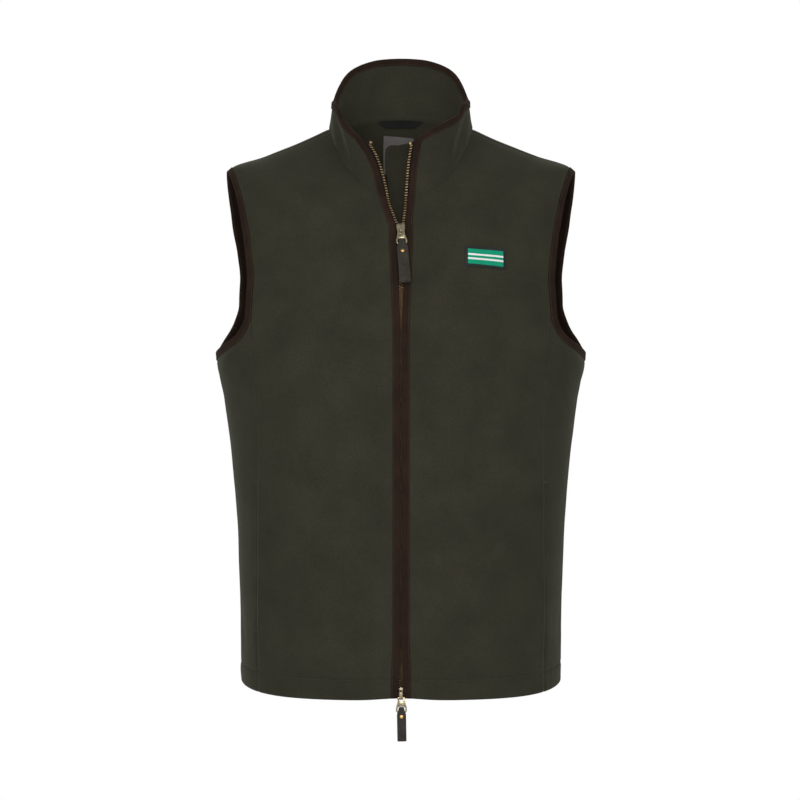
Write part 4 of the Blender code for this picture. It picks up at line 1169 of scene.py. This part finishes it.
def build_teeth(side):
    name = SIDES[side]
    points, ups, inward = zip_path(side)
    run = run_along(points)
    start = TOOTH_PITCH * (0.75 if side > 0 else 0.25)
    s = np.arange(start, run[points[:, 2] < TEETH_TOP][-1], TOOTH_PITCH)
    at, across, up = (read_at(s, run, values) for values in (points, inward, ups))
    along = unit(np.cross(up, across))
    frames = np.stack([across, along, np.cross(across, along)], 1)
    outline = [*TOOTH, *((a, -t) for a, t in reversed(TOOTH))]
    template = np.array([(a * (0.92 + 0.08 * k), t * k, h) for h, k in TOOTH_LAYERS for a, t in outline])
    closed = at[:, 2] < SLIDERS["z"][0] - 6
    # Teeth below the top slider take the darker copy of the brass: painted shade
    for chosen, row, surface in ((~closed, "zip_teeth", BRASS), (closed, "zip_closed_teeth", BRASS_PAINTED_SHADE)):
        faces = ring_faces(len(TOOTH_LAYERS), len(outline))
        mesh = copies(f"{row}_{name}", template, faces, at[chosen], frames[chosen], 35)
        made(mesh, surface)
    stop = np.array([(a, t, h) for h in (-1.2, 1.2) for a, t in STOP])
    top = at[-1:] + along[-1:] * 3.2 * np.sign(along[-1, 2])
    mesh = copies(f"zip_stop_{name}", stop, ring_faces(2, len(STOP)), top, frames[-1:], 35)
    made(mesh, BRASS)


def build_guard():
    ends = GUARD_EDGE["z"][[0, -1]]
    free = lambda z: smooth(GUARD_EDGE["z"], GUARD_EDGE["x"], np.clip(z, *ends))
    sewn = lambda z: zip_value("left_row", z) + TAPE_WIDTH - 1
    shares = np.array([0, 0.015, 0.04, 0.08, *spaced(0.12, 1, 16)])
    swell = np.array([-0.65, -0.25, -0.05, -0.25, *([0] * 17)])
    rises = [*np.linspace(0, 0.9, 14), 0.94, 0.97, 0.99, 1.0]
    stations, line = [], []
    for form, levels in ((body, np.arange(12, NECK + 1, 8)), (collar, rises)):
        rows = ruled(x_edge(form, levels, free), x_edge(form, levels, sewn), shares)
        face = offset(form, rows, swell - GUARD_DEPTH)
        back = offset(form, rows, -GUARD_DEPTH - GUARD - swell)
        stations.append(np.concatenate([face, back[:, ::-1]], 1))
        line.append((face[:, 3], normal(form, rows[:, 3])))
    # The guard takes the fleece's darker copy: painted shade for its place deep behind the zip
    guard = made(sweep("cloth_zip_guard", over_neck_seam(*stations)), GUARD_PAINTED_SHADE, "zip_guard")
    points, ups = (np.vstack([line[0][k], line[1][k][1:]]) for k in (0, 1))
    sew("stitches_guard", points, ups, OLIVE_THREAD)


# Inside the back, and the chest patch


def sheet_of(name, grid, low, thick, surface, node=None):
    """A small flat piece of cloth on the body, low mm off its face, with softened edges."""
    rows, cols = grid.shape[:2]
    height = cloth_height(body, grid) + low
    r, c = np.meshgrid(np.linspace(-1, 1, rows), np.linspace(-1, 1, cols), indexing="ij")
    soft = 0.35 * thick * (np.abs(r) ** 14 + np.abs(c) ** 14).clip(0, 1)
    top, under = offset(body, grid, height + thick - soft), offset(body, grid, height)
    starts = [i * cols + j for i in range(rows - 1) for j in range(cols - 1)]
    quads = [(v, v + 1, v + cols + 1, v + cols) for v in starts]
    points = np.vstack([top.reshape(-1, 3), under.reshape(-1, 3)])
    piece = made(mesh_of(name, points, closed_faces(quads, rows * cols)), surface, node)


STRIPES = ((0.30, 0.42), (0.58, 0.70))


def build_inside_back():
    face = -CLOTH - INSIDE_GAP
    x = np.linspace(-28, 28, 40)
    bottom, top = (np.interp(x, LOOP_STRIP["x"], LOOP_STRIP[edge]) for edge in ("bottom", "top"))
    rows = [behind_back(x, bottom * (1 - t) + top * t) for t in np.linspace(0, 1, 8)]
    sheet_of("cloth_hanger_loop", np.stack(rows), face - LOOP_CLOTH, LOOP_CLOTH, TAPE_FINISH,
             "hanger_loop")
    label = four_sided(behind_back(LABEL_CORNERS["x"], LABEL_CORNERS["below"]), 24, 30)
    sheet_of("cloth_neck_label", label, face - LABEL_CLOTH, LABEL_CLOTH, LABEL_FINISH, "neck_label")


def build_patch():
    seen = list(zip(PATCH_CORNERS["x"], PATCH_CORNERS["z"]))
    rim = PATCH_RIM * np.array([(1, 1), (-1, 1), (-1, -1), (1, -1)])
    corners = np.array([find(body, x, z, *PATCH_GUESS) for x, z in seen])
    inset = np.array([find(body, x + dx, z + dz, *PATCH_GUESS) for (x, z), (dx, dz) in zip(seen, rim)])
    sheet_of("cloth_chest_patch", four_sided(corners, 48, 30), SKIN_GAP, PATCH_CLOTH, PATCH_FINISH,
             "chest_patch")
    field = SKIN_GAP + PATCH_CLOTH + 0.1
    sheet_of("cloth_patch_field", four_sided(inset, 44, 24), field, FIELD_CLOTH, GREEN,
             "chest_patch_field")
    place = lambda end, share: inset[end] * (1 - share) + inset[3 - end] * share
    for k, (low, high) in enumerate(STRIPES):
        band = np.array([place(0, low), place(1, low), place(1, high), place(0, high)])
        sheet_of(f"patch_stripe_{k}", four_sided(band, 44, 3), field + 0.25, 0.25, WHITE)


# Seam allowances turned flat behind the seams, and the tape behind the neck seam

ALLOWANCE = 5.5
ALLOWANCE_CLOTH = 0.5
NECK_TAPE = (-5.2, -3.2, -1.0, 1.0, 3.2, 5.2)


def allowance(name, angle, levels):
    """A flat strip behind a seam of the body, which runs at an angle for each level."""
    line = np.stack([np.broadcast_to(angle, len(levels)), levels], -1)
    line = mirrored(line, 1 if name.endswith("left") else -1)
    across, _ = slopes_of(body, line)
    reach = ALLOWANCE / np.linalg.norm(across, axis=-1)
    grid = np.stack([line + np.stack([reach * k, 0 * reach], -1) for k in (-1, -0.5, 0, 0.5, 1)], 1)
    sheet_of(name, grid, -CLOTH - ALLOWANCE_CLOTH - 0.15, ALLOWANCE_CLOTH, FLEECE)


def build_allowances(side):
    name = SIDES[side]
    _, _, ends, _, first = front_rows(1)
    levels = np.linspace(HEM_TOP + 2, ends[first, 1] - 8, 90)
    allowance(f"allowance_front_{name}", seam_angle(levels), levels)
    allowance(f"allowance_back_{name}", SIDE_BACK_SEAM, levels)
    levels = np.linspace(on_loop(ARMHOLE_INNER, AT_SHOULDER)[1] + 12, NECK - 6, 40)
    allowance(f"allowance_shoulder_{name}", shoulder_angle(levels), levels)


def build_neck_tape():
    """A narrow tape inside, over the seam between the body and the collar, and the stitches above it."""
    angles = np.linspace(math.radians(38), math.radians(322), 160)
    low, high = (collar(angles, np.full_like(angles, level)) for level in (0, 1))
    height = np.linalg.norm(high - low, axis=-1)
    faces = []
    for a in NECK_TAPE:
        form, level = (body, np.full_like(angles, NECK + a)) if a < 0 else (collar, a / height)
        at = np.stack([angles, level], -1)
        low = cloth_height(form, at) - CLOTH - 0.15
        faces.append((offset(form, at, low), offset(form, at, low - 0.4)))
    tape = made(sweep("neck_tape", both_ways(faces)), FLEECE)
    at = np.stack([angles, 3.2 / height], -1)
    inside = offset(collar, at, cloth_height(collar, at) - CLOTH - 0.55)
    sew("stitches_neck_inside", inside, -normal(collar, at), OLIVE_THREAD)
    stitch_line("stitches_neck", collar, at)


# Seam and hem stitches of the body


def build_seam_stitches():
    start = 0.14
    around = np.stack([np.linspace(start, 2 * math.pi - start, 1100), np.full(1100, HEM_DEPTH - 1)], -1)
    around[:, 0] = np.where(around[:, 0] > math.pi, around[:, 0] - 2 * math.pi, around[:, 0])
    stitch_line("stitches_hem", body, around)
    for side, name in SIDES.items():
        for level in POCKET:
            middle = seam_angle(np.array([level, level]))[0]
            at = np.stack([np.linspace(middle - TACK_REACH, middle + TACK_REACH, 12), np.full(12, level)], -1)
            for row in (-1.1, 0.0, 1.1):
                line = mirrored(at + np.array([0, row]), side)
                stitch_line(f"bar_tack_{name}_{level:.0f}_{row + 2:.0f}", body, line, pitch=0.75, share=1.1,
                            slant=0.9)


POCKET = (70.0, 246.0)
TACK_REACH = 0.016
HEM_PUCKERS = 60

# Creases: start and end by angle in degrees and level, bow, depth and width in millimetres
CREASES = (
    ((50, 395), (72, 330), 0.10, -1.6, 9.0),
    ((58, 420), (80, 372), 0.12, 1.2, 7.0),
    ((82, 392), (92, 300), 0.08, -1.8, 10.0),
    ((100, 395), (95, 290), -0.08, -1.6, 11.0),
    ((112, 385), (126, 310), 0.10, -1.5, 10.0),
    ((22, 640), (40, 560), 0.10, -1.0, 12.0),
    ((140, 600), (165, 420), 0.08, -1.2, 16.0),
    ((150, 150), (170, 60), 0.10, -1.2, 14.0),
    ((30, 230), (45, 120), 0.08, -0.8, 16.0),
    ((60, 120), (64, 40), 0.05, 0.9, 12.0),
    ((74, 40), (80, 110), 0.05, -0.8, 9.0),
    ((42, 80), (47, 24), 0.0, -0.7, 8.0),
    ((118, 90), (124, 26), 0.0, -0.8, 9.0),
    ((130, 700), (150, 735), 0.1, -0.9, 8.0),
)
COLLAR_CREASES = (
    ((44, 0.05), (70, 0.75), 0.10, -1.5, 5.0),
    ((36, 0.10), (52, 0.80), 0.08, 1.1, 3.5),
    ((58, 0.0), (84, 0.6), 0.10, 1.2, 4.5),
    ((95, 0.1), (112, 0.7), 0.06, -1.2, 6.0),
    ((140, 0.2), (158, 0.8), 0.05, -0.9, 7.0),
)


# The sliders and their pulls

BEVEL = 0.18
SLIDER_WAIST = ((0.72, 1.0), (1.0, 0.72), (1.0, 0.2), (0.84, -0.5), (0.8, -1.0))
RIVET_PROFILE = ((0.0, 1.0), (0.75, 0.97), (1.4, 0.85), (1.9, 0.6), (2.25, 0.3), (2.3, 0.0))


def worked(piece):
    """Applies a piece's modifiers after a small bevel."""
    step = piece.modifiers.new("bevel", "BEVEL")
    step.width, step.segments, step.limit_method, step.angle_limit = BEVEL * MM, 2, "ANGLE", math.radians(35)
    bpy.context.view_layer.update()
    mesh = bpy.data.meshes.new_from_object(piece.evaluated_get(bpy.context.evaluated_depsgraph_get()))
    piece.modifiers.clear()
    piece.data = mesh
    mesh.shade_smooth()
    mesh.set_sharp_from_angle(angle=math.radians(40))


def plate(name, outline, low, high, place):
    """A flat piece in its own frame: an outline of (x, u) points, from one height to another."""
    shape = bmesh.new()
    face = shape.faces.new([shape.verts.new((x * MM, u * MM, low * MM)) for x, u in outline])
    raised = bmesh.ops.extrude_face_region(shape, geom=[face])["geom"]
    verts = [v for v in raised if isinstance(v, bmesh.types.BMVert)]
    bmesh.ops.translate(shape, verts=verts, vec=(0, 0, (high - low) * MM))
    bmesh.ops.recalc_face_normals(shape, faces=shape.faces)
    mesh = bpy.data.meshes.new(name)
    shape.to_mesh(mesh)
    shape.free()
    return placed(name, mesh, place)


def block(half, low, high):
    return [(-half, low), (half, low), (half, high), (-half, high)]


def joined(target, tools, operation):
    for tool in tools:
        step = target.modifiers.new(tool.name, "BOOLEAN")
        step.operation, step.object, step.solver = operation, tool, "EXACT"
    worked(target)
    for tool in tools:
        bpy.data.objects.remove(tool)


def both_sides(half):
    return [(x, u) for x, u in half] + [(-x, u) for x, u in reversed(half)]


def rounded(outline, radius, steps=5):
    """An outline with its corners rounded."""
    out = []
    points = [np.array(p, float) for p in outline]
    for k, here in enumerate(points):
        before, after = points[k - 1], points[(k + 1) % len(points)]
        a, b = before - here, after - here
        reach = min(radius, 0.45 * np.linalg.norm(a), 0.45 * np.linalg.norm(b))
        start, end = here + a / np.linalg.norm(a) * reach, here + b / np.linalg.norm(b) * reach
        for t in np.linspace(0, 1, steps):
            out.append(tuple(start * (1 - t) ** 2 + here * 2 * t * (1 - t) + end * t * t))
    return out


def zip_place(x, z):
    """The slider's frame: x across the zip, u up it and h out of the cloth."""
    level = float(np.interp(z, BODY["z_front"], BODY["level"]))
    spot = find(body, x, z, 0.0, level)
    up = Vector(body(spot[0], spot[1] + 4) - body(spot[0], spot[1] - 4)).normalized()
    across = Vector((1, 0, 0))
    out = across.cross(up).normalized()
    point = Vector(on(body, spot)) * MM
    return Matrix.Translation(point) @ Matrix((across, up, out)).transposed().to_4x4()


def build_slider(name, row):
    size = {column: float(values[row]) for column, values in (SLIDERS | TABS).items()}
    here = zip_place(size["x"], size["z"])
    half, length = size["half_width"], SLIDER_HALF_LENGTH
    flip = 1 if row == 0 else -1
    outline = rounded(both_sides([(half * w, length * u * flip) for w, u in SLIDER_WAIST]), 1.2)
    body_plate = plate(f"slider_{name}_body", outline, size["front_low"], size["front_high"], here)
    back_half = min(half, BACK_HALF_WIDTH) / half
    back_high = size["back_high"]
    back = plate("tool_back", [(x * back_half, u) for x, u in outline], back_high - PLATE, back_high, here)
    crown = length if row == 0 else 1.4 - length
    post = plate("tool_post", block(POST_HALF_WIDTH, crown - 1.4, crown - 0.1), back_high - PLATE / 2,
                 size["front_low"] + PLATE / 2, here)
    low, high = BAIL_ENDS
    foot = size["front_high"] - PLATE / 2
    roof = BAIL_TOP - BAIL
    arch = [(low, foot), (low + BAIL, foot), (low + BAIL, roof - 0.4), (low + BAIL + 0.9, roof),
            (high - BAIL - 0.9, roof), (high - BAIL, roof - 0.9), (high - BAIL, foot), (high, foot),
            (high, BAIL_TOP - 1.6), (high - 1.4, BAIL_TOP), (low + 1.2, BAIL_TOP), (low, BAIL_TOP - 1.2)]
    sideways = here @ Matrix(((0, 0, 1, 0), (1, 0, 0, 0), (0, 1, 0, 0), (0, 0, 0, 1)))
    reach = size["bail_half_width"]
    bail = plate("tool_bail", arch, -reach, reach, sideways)
    joined(body_plate, (back, post, bail), "UNION")
    # The slider's body takes the darker copy of its metal, painted shade; the faces that rise above the front
    # plate, the bail, take the lighter slider metal
    finished(body_plate, SLIDER_PAINTED_SHADE, f"slider_{name}")
    body_plate.data.materials.append(SLIDER_METAL)
    for face in body_plate.data.polygons:
        if face.center.z > (size["front_high"] + 0.15) * MM:
            face.material_index = 1
    hang = here @ Matrix.Translation((0, PIN_U * MM, PIN_H * MM))
    hang = hang @ Matrix.Rotation(math.radians(-size["tilt"]), 4, "Z")
    build_pull(name, size, hang)


def build_pull(name, size, hang):
    rides = f"pull_{name}"
    thick = PULLER_HALF
    puller = plate(f"puller_ring_{name}", rounded(both_sides(PULLER_OUTLINE), 1.6), -thick, thick, hang)
    holes = [plate(f"tool_hole_{k}", rounded(both_sides(hole), 0.9), -2 * thick, 2 * thick, hang)
             for k, hole in enumerate((BAIL_HOLE, TAB_HOLE))]
    joined(puller, holes, "DIFFERENCE")
    finished(puller, SLIDER_METAL, f"puller_{name}", rides)
    wide, end = size["tab_half_width"], size["tab_end"]
    outline = rounded(both_sides([*TAB_TOP, (wide, size["tab_shoulder"]), (wide, end)]), 1.6)
    near, far = thick + SKIN_GAP, thick + SKIN_GAP + LEATHER
    tab = plate(f"leather_tab_{name}", outline, near, far, hang)
    behind = plate("tool_behind", outline, -far, -near, hang)
    link_half, link_low, link_high = TAB_LINK
    middle = near + LEATHER / 2
    fold = plate("tool_fold", block(link_half, link_low, link_high), -middle, middle, hang)
    low, high = end + 1.2, PULLER_OUTLINE[-1][1] - 1.5
    core = plate("tool_core", block(wide - 0.6, low, high), -middle, middle, hang)
    joined(tab, (behind, fold, core), "UNION")
    finished(tab, LEATHER_FINISH, f"tab_{name}", rides)
    build_rivet(name, rides, hang @ Matrix.Translation((0, size["rivet"] * MM, 0)), far + 0.1)


def build_rivet(name, rides, hang, low):
    """Domed heads on both faces of the tab, with a shallow ring pressed round the middle."""
    segments = 28
    turns = np.arange(segments) * 2 * math.pi / segments
    rings = [(r, h - (0.12 if 0.7 < r < 0.9 else 0)) for r, h in RIVET_PROFILE[1:]]
    points, faces = [], []
    for sign in (1, -1):
        base = len(points)
        for r, h in rings:
            points += [(r * math.cos(t), r * math.sin(t), sign * (low + h)) for t in turns]
        tip = len(points)
        points.append((0, 0, sign * (low + RIVET_PROFILE[0][1])))
        dome = [tuple(base + v for v in face) for face in ring_faces(len(rings), segments)]
        faces += dome[:-2] + [(tip, base + k, base + (k + 1) % segments) for k in range(segments)] + dome[-1:]
    piece = placed(f"rivet_dome_{name}", mesh_of(f"rivet_dome_{name}", points, faces), hang)
    finished(piece, RIVET_BRASS, f"rivet_{name}", rides)


# Light, floor and camera


def area_light(name, place, aim, size, power):
    lamp = bpy.data.lights.new(name, "AREA")
    lamp.shape, lamp.size, lamp.size_y, lamp.energy = "RECTANGLE", size[0], size[1], power
    thing = placed(name, lamp)
    thing.location = place
    thing.rotation_euler = (Vector(aim) - Vector(place)).to_track_quat("-Z", "Y").to_euler()


AMBIENT = 0.22
FLOOR_Z = -1.35
CAMERA_PLACE = (-0.0012, -2.8, -0.329)


def build_surroundings():
    """A white room whose light on the garment is softer than its white backdrop, and large soft lamps."""
    bpy.context.scene.view_settings.view_transform = "Standard"
    world = bpy.data.worlds.new("studio")
    bpy.context.scene.world = world
    world.use_nodes = True
    tree = world.node_tree
    backdrop = tree.nodes["Background"]
    backdrop.inputs["Color"].default_value = (1, 1, 1, 1)
    backdrop.inputs["Strength"].default_value = 1.0
    room = add_node(tree, "ShaderNodeBackground", {"Color": (1, 1, 1, 1), "Strength": AMBIENT}, {})
    seen = tree.nodes.new("ShaderNodeLightPath").outputs["Is Camera Ray"]
    mix = add_node(tree, "ShaderNodeMixShader", {}, {0: seen, 1: room.outputs[0], 2: backdrop.outputs[0]})
    tree.links.new(mix.outputs[0], tree.nodes["World Output"].inputs["Surface"])
    area_light("front", (-0.15, -2.9, 0.15), (0, 0, -0.15), (1.5, 1.3), 62)
    area_light("left", (-1.9, -1.5, 0.5), (0, 0, -0.2), (1.0, 1.6), 12)
    area_light("right", (1.9, -1.5, 0.5), (0, 0, -0.2), (1.0, 1.6), 12)
    bpy.ops.mesh.primitive_plane_add(size=5, location=(0, 0, FLOOR_Z))
    floor = bpy.context.object
    floor.name = "floor"
    pale = bpy.data.materials.new("pale_floor")
    pale.use_nodes = True
    shader = pale.node_tree.nodes["Principled BSDF"]
    shader.inputs["Base Color"].default_value = (0.85, 0.85, 0.85, 1)
    shader.inputs["Roughness"].default_value = 0.9
    floor.data.materials.append(pale)
    lens = bpy.data.cameras.new("camera")
    lens.lens, lens.sensor_width = 103.3, 36
    camera = placed("camera", lens)
    camera.location, camera.rotation_euler = CAMERA_PLACE, (math.pi / 2, 0, 0)
    bpy.context.scene.camera = camera


def build_all():
    plan_creases()
    for side in SIDES:
        build_front(side)
        build_side(side)
        build_armhole_binding(side)
        build_front_binding(side)
        build_tape(side)
        build_teeth(side)
    build_back()
    build_collar()
    build_guard()
    build_inside_back()
    build_patch()
    build_seam_stitches()
    for side in SIDES:
        build_allowances(side)
    build_neck_tape()
    build_slider("top", 0)
    build_slider("bottom", 1)
    build_surroundings()


build_all()
